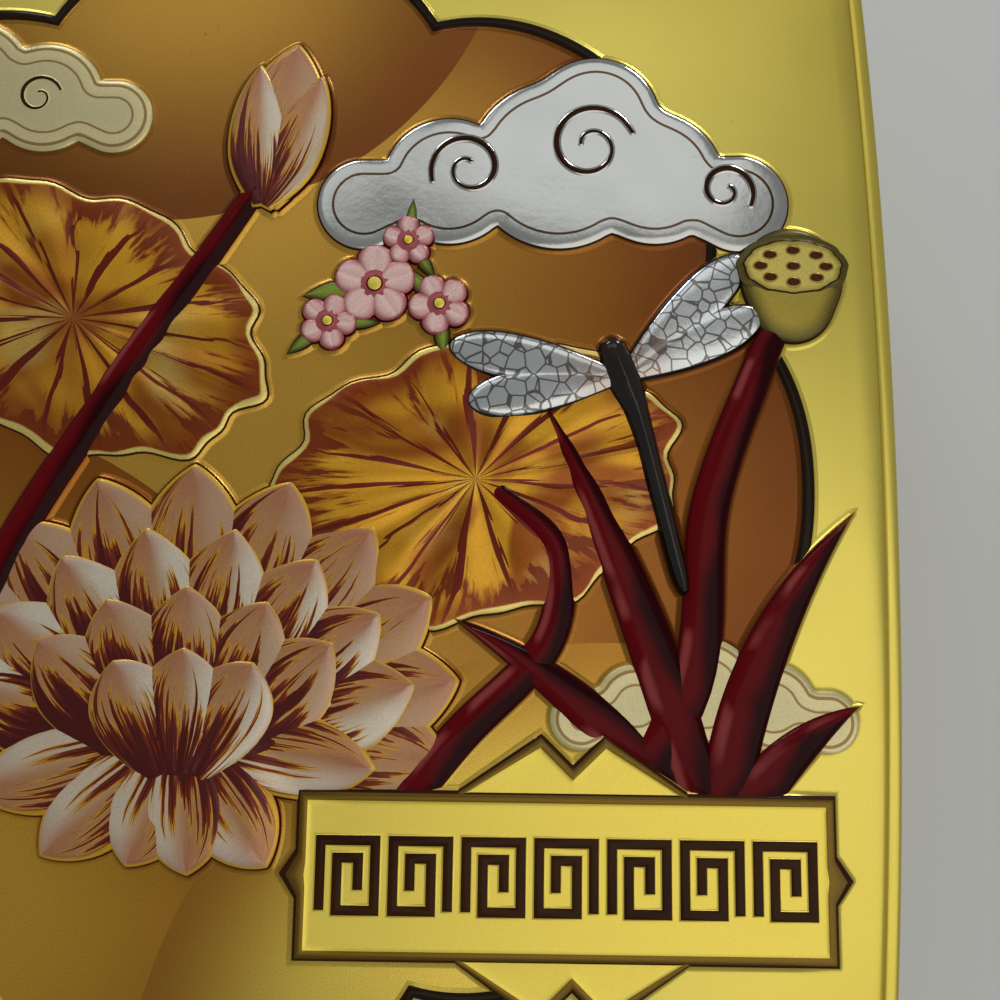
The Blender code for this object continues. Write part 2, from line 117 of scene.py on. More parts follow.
def new_finish(name, *carried):
    """An empty material with its tree, the Object coordinates in mm, and the numbers its mesh carries."""
    material = bpy.data.materials.new(name)
    material.use_nodes = True
    tree = material.node_tree
    tree.nodes.clear()
    where = add(tree, "TexCoord", output="Object")
    where = add(tree, "VectorMath", {"operation": "SCALE"}, where, Scale=1 / MM)
    numbers = [add(tree, "Attribute", {"attribute_name": key}, output="Fac") for key in carried]
    return material, tree, where, *numbers


def surface(tree, colour, **named):
    """Closes a finish with a shader of that colour."""
    add(tree, "OutputMaterial", None, add(tree, "BsdfPrincipled", None, Base_Color=colour, **named))


def lacquered(tree, where, colour, grain, metallic, roughness, strength=0.35, coat=0.15, coat_rough=0.15):
    """Closes a finish as lacquer over metal, with a fine grain in its colour and its surface."""
    speckle = add(tree, "TexNoise", None, where, Scale=4.2, Detail=2.0, Roughness=0.7)
    colour = add(tree, "Mix", TINT, 1.0, colour, add(tree, "MapRange", None, speckle, 0.3, 0.7, *grain))
    normal = add(tree, "Bump", None, Height=speckle, Distance=0.02 * MM, Strength=strength)
    surface(tree, colour, Metallic=metallic, Roughness=roughness, Normal=normal, Specular_IOR_Level=0.3,
            Coat_Weight=coat, Coat_Roughness=coat_rough)


# %% [markdown]
# The tin's outline is a square whose sides bow gently outwards between rounded corners. Each side
# is an arc of 1.1 m radius and each corner an arc of 16 mm that touches its two sides, so an inset
# outline is exact: both radii shrink by the inset. Every piece of the tin is a stack of such
# outlines at different insets and heights.

# %% The tin's outline
SIDE_RADIUS = 1100 * MM
CORNER_RADIUS = 16 * MM
SIDE_STEPS = 26
CORNER_STEPS = 16
SIDE_SHIFT = SIDE_RADIUS - WIDTH / 2    # of a side's centre beyond the tin's middle
CORNER_CENTRE = (math.sqrt(2 * (SIDE_RADIUS - CORNER_RADIUS) ** 2 - SIDE_SHIFT ** 2) - SIDE_SHIFT) / 2


def tin_outline(inset):
    """Points (x, y) of the outline, moved in by an inset in metres."""
    turn = math.atan2(CORNER_CENTRE, CORNER_CENTRE + SIDE_SHIFT)
    side_angles = np.linspace(-turn, turn, SIDE_STEPS, endpoint=False)
    corner_angles = np.linspace(turn, math.pi / 2 - turn, CORNER_STEPS, endpoint=False)
    points = []
    for quarter in range(4):
        start = quarter * math.pi / 2
        across = np.array((math.cos(start), math.sin(start)))
        along = np.array((-across[1], across[0]))
        for angles, radius, centre in ((side_angles, SIDE_RADIUS, -across * SIDE_SHIFT),
                                       (corner_angles, CORNER_RADIUS, (across + along) * CORNER_CENTRE)):
            rays = np.column_stack((np.cos(start + angles), np.sin(start + angles)))
            points.extend(centre + rays * (radius - inset))
    return np.array(points)


print("outline of", len(tin_outline(0.0)), "points")

# %% [markdown]
# Almost every piece here is grown the same way by hand in Blender: add a circle, move its points
# onto the first outline, then extrude the open edge again and again, moving each new ring of points
# to its place. Points remember their station round the ring and the ring they belong to, in two
# integer layers that an extrusion copies. Three more layers carry what the finishes need: the
# distance in from the printed edge, the share of the way along, and the share across.

# %% Growing a piece ring by ring
MERGE = 0.001 * MM              # points nearer than this are one
SMOOTH_ANGLE = math.radians(50)     # a sharper edge stays sharp
MEMORIES = ("station", "level")


def opened(piece):
    """The mesh in edit mode, with its points' two memories."""
    mesh = bmesh.from_edit_mesh(piece.data)
    return mesh, *(mesh.verts.layers.int[memory] for memory in MEMORIES)


def grow(name, rings, bands=None, finishes=(), closed=(True, True), layers=None):
    """A mesh from rings of (x, y, z) points. bands gives each strip's finish, by its lower ring."""
    bpy.ops.object.select_all(action="DESELECT")
    bpy.ops.mesh.primitive_circle_add(vertices=len(rings[0]), radius=WIDTH / 2, fill_type="NOTHING")
    piece = bpy.context.object
    piece.name = name
    bpy.ops.object.mode_set(mode="EDIT")
    mesh = bmesh.from_edit_mesh(piece.data)
    for memory in MEMORIES:
        mesh.verts.layers.int.new(memory)
    mesh, station, level = opened(piece)
    for index, vert in enumerate(mesh.verts):
        vert[station] = index
        vert.co = rings[0][index]
    for number, ring in enumerate(rings[1:], start=1):
        bpy.ops.mesh.extrude_region_move()
        mesh, station, level = opened(piece)
        for vert in mesh.verts:
            if vert.select:
                vert[level] = number
                vert.co = ring[vert[station]]
    for number, wanted in ((len(rings) - 1, closed[1]), (0, closed[0])):
        if wanted:
            mesh, station, level = opened(piece)
            for vert in mesh.verts:
                vert.select = vert[level] == number
            mesh.select_flush(True)
            bmesh.update_edit_mesh(piece.data)
            bpy.ops.mesh.edge_face_add()
    mesh, station, level = opened(piece)
    for layer_name, values in (layers or {}).items():
        layer = mesh.verts.layers.float.new(layer_name)
        for vert in mesh.verts:
            vert[layer] = values[vert[level]][vert[station]]
    for face in mesh.faces if bands else ():
        face.material_index = bands[min(vert[level] for vert in face.verts)]
    bmesh.update_edit_mesh(piece.data)
    bpy.ops.mesh.select_all(action="SELECT")
    bpy.ops.mesh.remove_doubles(threshold=MERGE)
    bpy.ops.mesh.normals_make_consistent(inside=False)
    bpy.ops.object.mode_set(mode="OBJECT")
    for finish in finishes:
        piece.data.materials.append(finish)
    for memory in MEMORIES:
        piece.data.attributes.remove(piece.data.attributes[memory])
    bpy.ops.object.shade_smooth_by_angle(angle=SMOOTH_ANGLE)
    return piece


def tin_piece(name, steps):
    """A closed piece of the tin from steps (inset, z) of its outline, in metres."""
    piece = grow(name, [[(x, y, z) for x, y in tin_outline(inset)] for inset, z in steps])
    print(name + ":", len(piece.data.polygons), "faces")
    return piece


def arc(centre, radii, start, end, parts):
    """Steps (inset, z) along an arc; angles in degrees, 0 towards the tin's middle and 90 upwards."""
    angles = np.radians(np.linspace(start, end, parts + 1))
    return [(centre[0] + radii[0] * math.cos(a), centre[1] + radii[1] * math.sin(a)) for a in angles]

# %% [markdown]
# The lid is one pressed sheet. Its flat panel rolls off softly to a sharp crease, then the rim stands
# up again as a small round bead before the skirt drops away and ends in a turned hem. Those are the
# steps of the profile below, from the panel outwards and down, and back up inside.

# %% The lid's sheet
SHEET = 0.3 * MM
ROLL_OFF = 6.0 * MM
CREASE = 2.4 * MM
CREASE_DROP = 0.9 * MM
RIM_HEIGHT = 0.55 * MM
RIM_STEPS = 12
RIM_LEAN = 0.6 * MM / RIM_STEPS     # by which each step of the rim is lower
SKIRT = 0.4 * MM
HEM_HEIGHT = 1.2 * MM
INSIDE = SKIRT + SHEET

rim = arc((CREASE / 2, PANEL - CREASE_DROP), (CREASE / 2, RIM_HEIGHT), 0, 180, RIM_STEPS)
lid = tin_piece("lid_sheet", [
    *arc((ROLL_OFF, PANEL - CREASE_DROP), (ROLL_OFF - CREASE, CREASE_DROP), 90, 180, 8),
    *((inset, z - RIM_LEAN * number) for number, (inset, z) in enumerate(rim)),
    (0.1 * MM, PANEL - 1.8 * MM), (SKIRT, PANEL - 2.3 * MM), (SKIRT, HEM + HEM_HEIGHT + 0.1 * MM),
    *arc((SKIRT, HEM + HEM_HEIGHT / 2), (SKIRT, HEM_HEIGHT / 2), 90, 270, 8),
    (INSIDE, HEM), (INSIDE, PANEL - 1.8 * MM), (CREASE, PANEL - 1.3 * MM), (ROLL_OFF, PANEL - SHEET),
])

# %% [markdown]
# The base shows below the lid: a plain wall, a stop bead under the hem, and the rolled seam that
# joins wall and bottom. The seam ring and the recessed bottom panel are one piece, because the seam
# is the bottom's own edge folded round the wall.

# %% The base and its bottom
WALL = INSIDE + 0.3 * MM
WALL_FOOT = 2.5 * MM
STOP_TOP = HEM - 0.3 * MM
STOP_HEIGHT = 1.8 * MM
STOP_PROUD = 0.7 * MM
SEAM = 0.2 * MM
SEAM_HEIGHT = 3.0 * MM
SEAM_WIDTH = 1.7 * MM
SEAM_INSIDE = SEAM + SEAM_WIDTH
SEAM_ROUND = 0.5 * MM           # height of the seam's round top
SEAM_FOOT = 0.3 * MM            # radius of its foot
RECESS = 1.5 * MM

base = tin_piece("base_wall", [
    (ROLL_OFF, PANEL - 0.65 * MM), (WALL, PANEL - 2.1 * MM),
    *arc((WALL, STOP_TOP - STOP_HEIGHT / 2), (STOP_PROUD, STOP_HEIGHT / 2), 90, 270, 10),
    (WALL, SEAM_HEIGHT + 0.3 * MM), (WALL_FOOT, SEAM_HEIGHT + 0.3 * MM), (WALL_FOOT, RECESS + 0.6 * MM),
])
bottom = tin_piece("bottom_and_seam", [
    (SEAM_INSIDE + 0.2 * MM, RECESS + SHEET),
    *arc((SEAM + SEAM_WIDTH / 2, SEAM_HEIGHT - SEAM_ROUND), (SEAM_WIDTH / 2, SEAM_ROUND), 0, 180, 16),
    *arc((SEAM + SEAM_FOOT, SEAM_FOOT), (SEAM_FOOT, SEAM_FOOT), 180, 270, 6),
    (SEAM_INSIDE, 0.0), (SEAM_INSIDE + SHEET, SEAM_FOOT), (SEAM_INSIDE + SHEET, RECESS),
])

# %% [markdown]
# The ground of the lid is lithographed tinplate: translucent yellow lacquer over bright metal, with
# the printed fields of colour fading into each other like airbrush work. Metal under lacquer gives a
# satin, slightly grainy gloss, so the finish is a metallic shader with a fine speckle in its colour
# and a clear coat. The fields are plain geometry: a disc is a distance from a centre, and the
# scalloped panel is a radius that dips at each cusp. All distances are in millimetres, from Object
# coordinates, so the print stays on the sheet and runs on over the embossing's feet.

# %% The printed ground
FIELD_RADIUS = 88.0             # of the scalloped field, in mm
FIELD_LOBES = 8
CUSP_DEPTH = 9.0
CUSP_POWER = 2.6                # how late a lobe dips towards its cusps
BROWN = "#4A2C0A"               # of the printed lines
HILLS = (                       # centre x, y, radius, colour at the edge, colour inside, fade; mm
    (-50.0, -60.0, 70.0, "#8E5414", "#C79A34", 52.0),
    (58.0, -92.0, 68.0, "#9A6C22", "#D6BC50", 26.0),
    (-14.0, 96.0, 56.0, "#6F3E0E", "#B08630", 40.0),
)

ground, tree, where = new_finish("lithographed_yellow_lacquer")
x, y, z = (add(tree, "SeparateXYZ", None, where, output=axis) for axis in "XYZ")
flat = add(tree, "CombineXYZ", None, x, y, 0.0)
radius = add(tree, "VectorMath", {"operation": "LENGTH"}, flat)
angle = add(tree, "Math", {"operation": "ARCTAN2"}, y, x)
turns = add(tree, "Math", TIMES_PLUS, angle, FIELD_LOBES / math.tau, 0.5 + FIELD_LOBES)
lobe = add(tree, "Math", {"operation": "FRACT"}, turns)
lobe = add(tree, "Math", SIZE, add(tree, "Math", TIMES_PLUS, lobe, 2.0, -1.0))
dip = add(tree, "Math", {"operation": "POWER"}, lobe, CUSP_POWER)
edge = add(tree, "Math", TIMES_PLUS, dip, -CUSP_DEPTH, FIELD_RADIUS)
field_depth = add(tree, "Math", MINUS, edge, radius)
in_field = add(tree, "Math", ABOVE, field_depth, 0.0)

fade = add(tree, "MapRange", SMOOTH, field_depth, 0.0, 24.0)
sunset = add(tree, "MapRange", SMOOTH, x, 0.0, 66.0)
field = add(tree, "Mix", INK, sunset, "#C0953A", "#824E14")
field = add(tree, "Mix", INK, fade, add(tree, "Mix", TINT, 1.0, field, "#D2BFA6"), field)
for hill_x, hill_y, hill_radius, rim_colour, inner_colour, fade_width in HILLS:
    away = add(tree, "VectorMath", {"operation": "DISTANCE"}, flat, (hill_x, hill_y, 0.0))
    depth = add(tree, "Math", MINUS, hill_radius, away)
    fade = add(tree, "MapRange", SMOOTH, depth, 0.0, fade_width)
    hill = add(tree, "Mix", INK, fade, rim_colour, inner_colour)
    field = add(tree, "Mix", INK, add(tree, "Math", ABOVE, depth, 0.0), field, hill)
near_edge = add(tree, "MapRange", SMOOTH, radius, 84.0, 150.0)
border = add(tree, "Mix", INK, near_edge, "#CDBD58", "#C0AC42")
colour = add(tree, "Mix", INK, in_field, border, field)

# %% [markdown]
# Round the skirt runs a band of lozenges between two lines. The lozenges are counted by the way along
# each side and on round its corner, so that they stay even and meet in the corner's middle.

# %% The skirt's printed band
BAND_MIDDLE = (HEM / MM + 53.0) / 2     # height of the band, in mm
BAND_LINE = 4.3                 # from the band's middle to its two lines
BAND_LINE_HALF = 0.35
LOZENGE = (2.3, 2.7)            # half width and half height
LOZENGES = 30                   # half lozenges from a side's middle to its corner's middle
LOZENGE_RING = (0.72, 0.26)     # middle and half width of its printed ring, as shares of its size
CORNER_START = CORNER_CENTRE / MM       # where a side ends and its corner's arc begins
ARC = (CORNER_RADIUS - SKIRT) / MM
LOZENGE_BEAT = (CORNER_START + ARC * math.pi / 4) / LOZENGES

nearer = add(tree, "Math", {"operation": "MINIMUM"}, add(tree, "Math", SIZE, x), add(tree, "Math", SIZE, y))
on_side = add(tree, "Math", {"operation": "MINIMUM"}, nearer, CORNER_START)
sine = add(tree, "MapRange", None, nearer, CORNER_START, CORNER_START + ARC)
along_side = add(tree, "Math", TIMES_PLUS, add(tree, "Math", {"operation": "ARCSINE"}, sine), ARC, on_side)
beat = add(tree, "Math", FOLD, along_side, LOZENGE_BEAT)
beat = add(tree, "Math", {"operation": "DIVIDE"}, beat, LOZENGE[0])
lift = add(tree, "Math", SIZE, add(tree, "Math", MINUS, z, BAND_MIDDLE))
reach = add(tree, "Math", TIMES_PLUS, lift, 1 / LOZENGE[1], beat)
ring = add(tree, "Math", SIZE, add(tree, "Math", MINUS, reach, LOZENGE_RING[0]))
lozenge = add(tree, "Math", BELOW, ring, LOZENGE_RING[1])
to_line = add(tree, "Math", SIZE, add(tree, "Math", MINUS, lift, BAND_LINE))
line = add(tree, "Math", BELOW, to_line, BAND_LINE_HALF)
colour = add(tree, "Mix", INK, add(tree, "Math", {"operation": "MAXIMUM"}, lozenge, line), colour, BROWN)
colour = add(tree, "Mix", INK, add(tree, "Math", BELOW, reach, LOZENGE_RING[1]), colour, "#7E0B17")

# %% [markdown]
# The grain is coarse in the picture's field and fine on the border, and a few dark specks of dust
# are caught under the lacquer.

# %% The ground's grain
speckle = add(tree, "TexNoise", None, where, Scale=5.5, Detail=2.0, Roughness=0.7)
coarse = add(tree, "MapRange", None, speckle, 0.3, 0.7, 0.74, 1.22)
fine = add(tree, "MapRange", None, speckle, 0.3, 0.7, 0.93, 1.07)
grain = add(tree, "Mix", {"data_type": "FLOAT"}, in_field, fine, coarse)
colour = add(tree, "Mix", TINT, 1.0, colour, grain)
specks = add(tree, "TexVoronoi", {"feature": "F1"}, where, Scale=0.16)
colour = add(tree, "Mix", INK, add(tree, "Math", BELOW, specks, 0.018), colour, "#3A2A12")
cloudy = add(tree, "TexNoise", None, where, Scale=0.05, Detail=2.0)
rough = add(tree, "MapRange", None, cloudy, 0.3, 0.7, 0.28, 0.35)
normal = add(tree, "Bump", None, Height=speckle, Distance=0.015 * MM, Strength=0.3)
surface(tree, colour, Metallic=0.85, Roughness=rough, Normal=normal, Specular_IOR_Level=0.3,
        Coat_Weight=0.15, Coat_Roughness=0.2)
lid.data.materials.append(ground)
print("ground printed with", len(HILLS), "hills on a field of", FIELD_LOBES, "lobes")

# %% [markdown]
# The base has the same yellow lacquer with two thin printed lines, one under the bead and one above
# the seam. The bottom is bare tinplate: rolled steel whose fine lines all run one way.

# %% Base lacquer and bare tinplate
base_ink, tree, where = new_finish("base_yellow_lacquer")
height = add(tree, "SeparateXYZ", None, where, output="Z")
line = add(tree, "Math", FOLD, height, (SEAM_HEIGHT + STOP_TOP) / MM / 2)
line = add(tree, "Math", SIZE, add(tree, "Math", MINUS, line, 6.5))
colour = add(tree, "Mix", INK, add(tree, "Math", BELOW, line, 0.4), "#C6B34E", BROWN)
lacquered(tree, where, colour, (0.78, 1.2), 0.85, 0.32, coat_rough=0.2)
base.data.materials.append(base_ink)

tinplate, tree, where = new_finish("rolled_tinplate")
rolled = add(tree, "VectorMath", TIMES, where, (0.06, 2.5, 0.3))
lines = add(tree, "TexNoise", None, rolled, Scale=1.0, Detail=3.0, Roughness=0.6)
stain = add(tree, "TexNoise", None, rolled, Scale=0.08, Detail=2.0)
colour = add(tree, "Mix", INK, stain, "#B9B8B2", "#C8C6BE")
colour = add(tree, "Mix", TINT, 1.0, colour, add(tree, "MapRange", None, lines, 0.3, 0.7, 0.9, 1.06))
rough = add(tree, "MapRange", None, lines, 0.3, 0.7, 0.24, 0.36)
normal = add(tree, "Bump", None, Height=lines, Distance=0.01 * MM, Strength=0.4)
surface(tree, colour, Metallic=1.0, Roughness=rough, Normal=normal)
bottom.data.materials.append(tinplate)

# %% [markdown]
# Embossing raises the sheet from below with a shaped tool, so a motif has no hard wall: its edge is
# a soft S, hollow at the foot and round at the shoulder, and the print's own edge runs along the
# middle of that slope. So each motif is grown from rings at fixed distances from its printed edge.
# Rings outside the edge carry the ground's lacquer up the foot, the first rings inside are the dark
# key line that the printer draws round each shape, and the rest is the motif's own colour.

# %% Embossing a motif
FOOT = 0.85                     # mm, width of the hollow foot outside the printed edge
EMBED = 0.12                    # mm, how far a motif reaches down into the sheet
SHOULDER = 0.42                 # mm, how soon the shoulder levels out inside the edge
EDGE_SHARE = 0.38               # share of the rise reached at the printed edge
TURN_IN = 1.5                   # mm, over which a broad motif's rings keep square to its edge
FOOT_SHARES = (1.12, 1.06, 1.0, 0.86, 0.7, 0.5, 0.3, 0.14, 0.0)    # where the outer rings lie on the foot
HIDE = 0.002                    # mm, by which a foot's start lies under the sheet's face
STEPS_IN = (0.12, 0.3, 0.55, 0.85, 1.2, 1.7, 2.4, 3.3, 4.5, 6.2, 8.5, 12.0, math.inf)
SHARES_IN = (0.10, 0.2, 0.3, 0.42, 0.54, 0.65, 0.74, 0.81, 0.87, 0.92, 0.96, 0.98, 1.0)
EDGE_RINGS = 5                  # of a broad motif at those steps, before its even ones to the middle
EVEN_RINGS = 40
GROUND, LINE, FILL = 0, 1, 2    # a motif's three finishes
KEY_RINGS = 2                   # that carry the key line


def outward(points):
    """Vectors that point out of a closed outline drawn anticlockwise, longer at sharp corners."""
    edges = np.roll(points, -1, axis=0) - points
    edges /= np.linalg.norm(edges, axis=1)[:, None] + 1e-9
    normals = np.column_stack((edges[:, 1], -edges[:, 0]))
    both = normals + np.roll(normals, 1, axis=0)
    both /= np.linalg.norm(both, axis=1)[:, None] + 1e-9
    return both / np.clip(np.sum(both * normals, axis=1), 0.6, 1.0)[:, None]


def slope(distance, wide=FOOT, soft=SHOULDER):
    """Share of the rise at a distance in from the printed edge, for a foot and a shoulder in mm."""
    foot = EDGE_SHARE * np.clip(1 + distance / wide, 0, 1) ** 2
    shoulder = EDGE_SHARE + (1 - EDGE_SHARE) * (1 - np.exp(-np.maximum(distance, 0) / soft))
    return np.where(distance < 0, foot, shoulder)


def nearest(points, outline):
    """Each point's true distance to a closed outline."""
    run = np.roll(outline, -1, axis=0) - outline
    away = points[:, None] - outline[None]
    share = np.clip(np.sum(away * run, axis=2) / np.sum(run * run, axis=1), 0, 1)
    return np.linalg.norm(away - share[..., None] * run, axis=2).min(axis=1)


def emboss(name, shape, rise, finishes, dome=0.0, folds=None, broad=False, base=0.0, sink=0.0, wide=FOOT,
           soft=SHOULDER, behind=None):
    """A raised motif. shape holds its outline, core, along and side; sizes are in mm.

    The rings of a broad motif leave its edge square and turn gently towards its middle, and carry
    their true distance from the edge. One that sinks starts low; one that passes behind another
    sheds its height there by behind(flat), a share from 0 to 1."""
    if sink:
        share = np.clip((shape["along"] - 0.5 * sink) / (0.5 * sink), 0, 1)
        share = share * share * (3 - 2 * share)
        rise, dome = rise * (0.05 + 0.95 * share), dome * share
    outline, core = shape["outline"], shape["core"]
    normal = outward(outline)
    half = np.linalg.norm(outline - core, axis=1)
    flats, heights, edges, insides = [], [], [], []
    for share in FOOT_SHARES:
        flats.append(outline + normal * share * wide)
        edges.append(0 * half - share * wide)
        insides.append(0 * half)
        heights.append(rise * slope(edges[-1], wide) - (EMBED if share == FOOT_SHARES[0] else HIDE))
    distances = [np.minimum(step, share * half) for step, share in zip(STEPS_IN, SHARES_IN)]
    if broad:
        near = distances[EDGE_RINGS - 1]
        evenly = np.arange(1, EVEN_RINGS + 1) / EVEN_RINGS
        distances = distances[:EDGE_RINGS] + [near + (half - near) * share for share in evenly]
    for distance in distances:
        ray_in = (core - outline) * (distance / half)[:, None]
        square = (1 - distance / half) / (1 + (distance / TURN_IN) ** 3) if broad else 0 * half
        flats.append(outline + ray_in - (normal * distance[:, None] + ray_in) * square[:, None])
        edges.append(nearest(flats[-1], outline) if broad else distance)
        insides.append(distance / half)
        heights.append(rise * slope(edges[-1], wide, soft) + dome * (1 - (1 - insides[-1]) ** 2))
        if folds is not None:
            across = shape["side"] * (1 - insides[-1])
            heights[-1] += folds(flats[-1], distance, half, shape["along"], across)
    _, spot = np.unique(core, axis=0, return_inverse=True)
    spot = spot.ravel()
    heights[-1] = (np.bincount(spot, heights[-1]) / np.bincount(spot))[spot]
    if behind is not None:
        heights = [(height + EMBED) * behind(flat) - EMBED for flat, height in zip(flats, heights)]
    points = [np.column_stack((flat * MM, PANEL + (base + height) * MM))
              for flat, height in zip(flats, heights)]
    layers = {
        "edge": edges,
        "along": [shape["along"]] * len(points),
        "across": [shape["side"] * (1 - inside) for inside in insides],
        "tone": [0 * half + shape.get("tone", 0.5)] * len(points),
    }
    bands = [GROUND] * (len(FOOT_SHARES) - 1) + [LINE] * KEY_RINGS
    bands += [FILL] * (len(points) - len(bands))
    return grow(name, points, bands, finishes, (True, False), layers)


def join(name, pieces):
    """Several pieces as one object."""
    bpy.ops.object.select_all(action="DESELECT")
    for piece in pieces:
        piece.select_set(True)
    bpy.context.view_layer.objects.active = pieces[0]
    bpy.ops.object.join()
    pieces[0].name = name
    print(name + ":", len(pieces[0].data.polygons), "faces")
    return pieces[0]


def emboss_all(name, shapes, finishes, **relief):
    """Motifs of one finish as one object, from pairs of shape and rise."""
    return join(name, [emboss(f"{name}_{number}", shape, rise, finishes, **relief)
                       for number, (shape, rise) in enumerate(shapes)])


# %% [markdown]
# Six families of outline make up the whole picture. A petal swells along a spine and ends in a point
# or a round. A band follows a smooth path with a changing width and has round ends, and a curl is a
# band along a spiral. A leaf is a disc with a wavy edge. A puff is the soft outer line of a few
# overlapping discs, as a cloud is. A stroke runs straight and turns square corners. Each comes with a
# core, the line or point that its rings close in on.

# %% Outlines


def petal(base, heading, length, width, bend=0.0, widest=0.6, root=0.35, tip=0.8, steps=26, tone=0.5,
          hidden=0.0):
    """A petal from its base along a spine that turns by bend; angles in degrees, sizes in mm."""
    even = np.linspace(0, 1, steps)
    share = 0.85 * ((1 - np.cos(math.pi * even)) / 2) ** 0.85 + 0.15 * even
    fine = np.linspace(0, 1, 200)
    angles = np.radians(heading + bend * fine[:-1])
    runs = np.column_stack((np.cos(angles), np.sin(angles))) * length / len(angles)
    way = np.vstack((base, base + np.cumsum(runs, axis=0)))

    def spine(at):
        return np.column_stack([np.interp(at, fine, line) for line in way.T])

    swell = root + (1 - root) * np.sin(math.pi / 2 * np.clip(share / widest, 0, 1))
    taper = np.clip(1 - (np.clip(share - widest, 0, 1) / (1 - widest)) ** 2, 0, 1) ** tip
    half = np.where(share < widest, swell, taper) * width / 2
    turned = np.radians(heading + bend * share)
    side = np.column_stack((-np.sin(turned), np.cos(turned))) * half[:, None]
    middle, core = spine(share), spine(0.05 + 0.88 * share)
    return {
        "outline": np.vstack((middle - side, (middle + side)[-2::-1])),
        "core": np.vstack((core, core[-2::-1])),
        "along": (np.concatenate((share, share[-2::-1])) - hidden) / (1 - hidden),
        "side": np.concatenate((np.full(steps, -1.0), np.full(steps - 1, 1.0))),
        "tone": tone,
    }


def smooth_path(points, steps):
    """A smooth curve through all the points, row by row."""
    given = np.array([points[0], *points, points[-1]], float)
    t = np.linspace(0, 1, steps, endpoint=False)[:, None]
    path = [b + 0.5 * ((c - a) * t + (2 * a - 5 * b + 4 * c - d) * t ** 2 + (3 * b - a - 3 * c + d) * t ** 3)
            for a, b, c, d in zip(given, given[1:], given[2:], given[3:])]
    return np.vstack((*path, given[-1:]))


def band(points, steps=10, caps=7):
    """A strip along a smooth path of points (x, y, half width), with round ends."""
    path = smooth_path(points, steps)
    middle, half = path[:, :2], path[:, 2:]
    way = np.gradient(middle, axis=0)
    way *= half / np.linalg.norm(way, axis=1)[:, None]
    side = np.column_stack((-way[:, 1], way[:, 0]))
    count = len(path)
    turn = np.arange(1, caps) * math.pi / caps
    spot = np.arange(count)
    spot = np.concatenate((spot, 0 * turn + count - 1, spot[::-1], 0 * turn)).astype(int)
    lean = np.concatenate((np.full(count, -1.0), -np.cos(turn), np.full(count, 1.0), np.cos(turn)))
    ahead = np.concatenate((np.zeros(count), np.sin(turn), np.zeros(count), -np.sin(turn)))
    return {
        "outline": middle[spot] + side[spot] * lean[:, None] + way[spot] * ahead[:, None],
        "core": middle[spot], "along": spot / (count - 1), "side": lean,
    }


def curl(centre, radius, start, turns, width, steps=26):
    """A spiral line that tightens round a centre; angles in degrees."""
    share = np.linspace(0, 1, steps)
    angle = math.radians(start) + math.tau * turns * share
    reach = radius * (1 - 0.78 * share)
    half = width * (0.55 + 0.45 * np.sin(math.pi * np.minimum(1.0, share * 1.4 + 0.1)))
    x, y = centre[0] + reach * np.cos(angle), centre[1] + reach * np.sin(angle)
    return band(np.column_stack((x, y, half)), steps=2)


def disc_leaf(centre, half_length, half_width, turn=0.0, waves=9, depth=0.045, phase=0.0, steps=150):
    """A round leaf with a wavy edge."""
    angle = np.linspace(0, math.tau, steps, endpoint=False)
    swell = 1 + depth * np.sin(waves * angle + phase)
    swell += 0.4 * depth * np.sin((2 * waves + 1) * angle + 2 * phase)
    x, y = half_length * swell * np.cos(angle), half_width * swell * np.sin(angle)
    tilt = math.radians(turn)
    outline = centre + np.column_stack((x * math.cos(tilt) - y * math.sin(tilt),
                                        x * math.sin(tilt) + y * math.cos(tilt)))
    return {"outline": outline, "core": outline * 0 + centre, "along": angle / math.tau,
            "side": np.ones(steps)}


def puff(centre, discs, steps=150, softness=14):
    """The outer line of overlapping discs (x, y, radius) round a centre, with softened cusps."""
    angle = np.linspace(0, math.tau, 2000)
    ray = np.column_stack((np.cos(angle), np.sin(angle)))
    total = np.zeros(len(angle))
    for x, y, radius in discs:
        ahead = ray @ np.array((x, y))
        inside = radius ** 2 - x ** 2 - y ** 2 + ahead ** 2
        reach = np.where(inside > 0, ahead + np.sqrt(np.maximum(inside, 0)), 0)
        total += np.maximum(reach, 0) ** softness
    line = ray * (total ** (1 / softness))[:, None]
    walked = np.concatenate(([0], np.cumsum(np.linalg.norm(np.diff(line, axis=0), axis=1))))
    even = np.linspace(0, walked[-1], steps, endpoint=False)
    outline = np.column_stack([np.interp(even, walked, part) for part in line.T]) + centre
    return {"outline": outline, "core": outline * 0 + centre, "along": even / walked[-1],
            "side": np.ones(steps)}


def stroke(path, half):
    """A flat-ended stroke of even width along straight runs with mitred corners."""
    path = np.array(path, float)
    runs = path[1:] - path[:-1]
    runs /= np.linalg.norm(runs, axis=1)[:, None]
    sides = np.column_stack((-runs[:, 1], runs[:, 0]))
    mitres = [(before + after) / (1 + before @ after) for before, after in zip(sides, sides[1:])]
    offsets = np.array([sides[0], *mitres, sides[-1]]) * half
    core = path + np.vstack((runs[:1], 0 * path[2:], -runs[-1:])) * half
    outline = np.vstack((path - offsets, (path + offsets)[::-1]))
    flat = np.zeros(len(outline))
    return {"outline": outline, "core": np.vstack((core, core[::-1])), "along": flat, "side": flat}

# %% [markdown]
# The inks. Over bright tin a printer has two ways to make a colour: a translucent lacquer that lets
# the metal shine through, as on the gold leaves and the silver cloud, and an opaque glossy enamel,
# as on the maroon stems and the black lines. The lacquers carry the same fine grain as the ground,
# but the enamels flow out smooth and take long sharp highlights.

# %% Plain inks


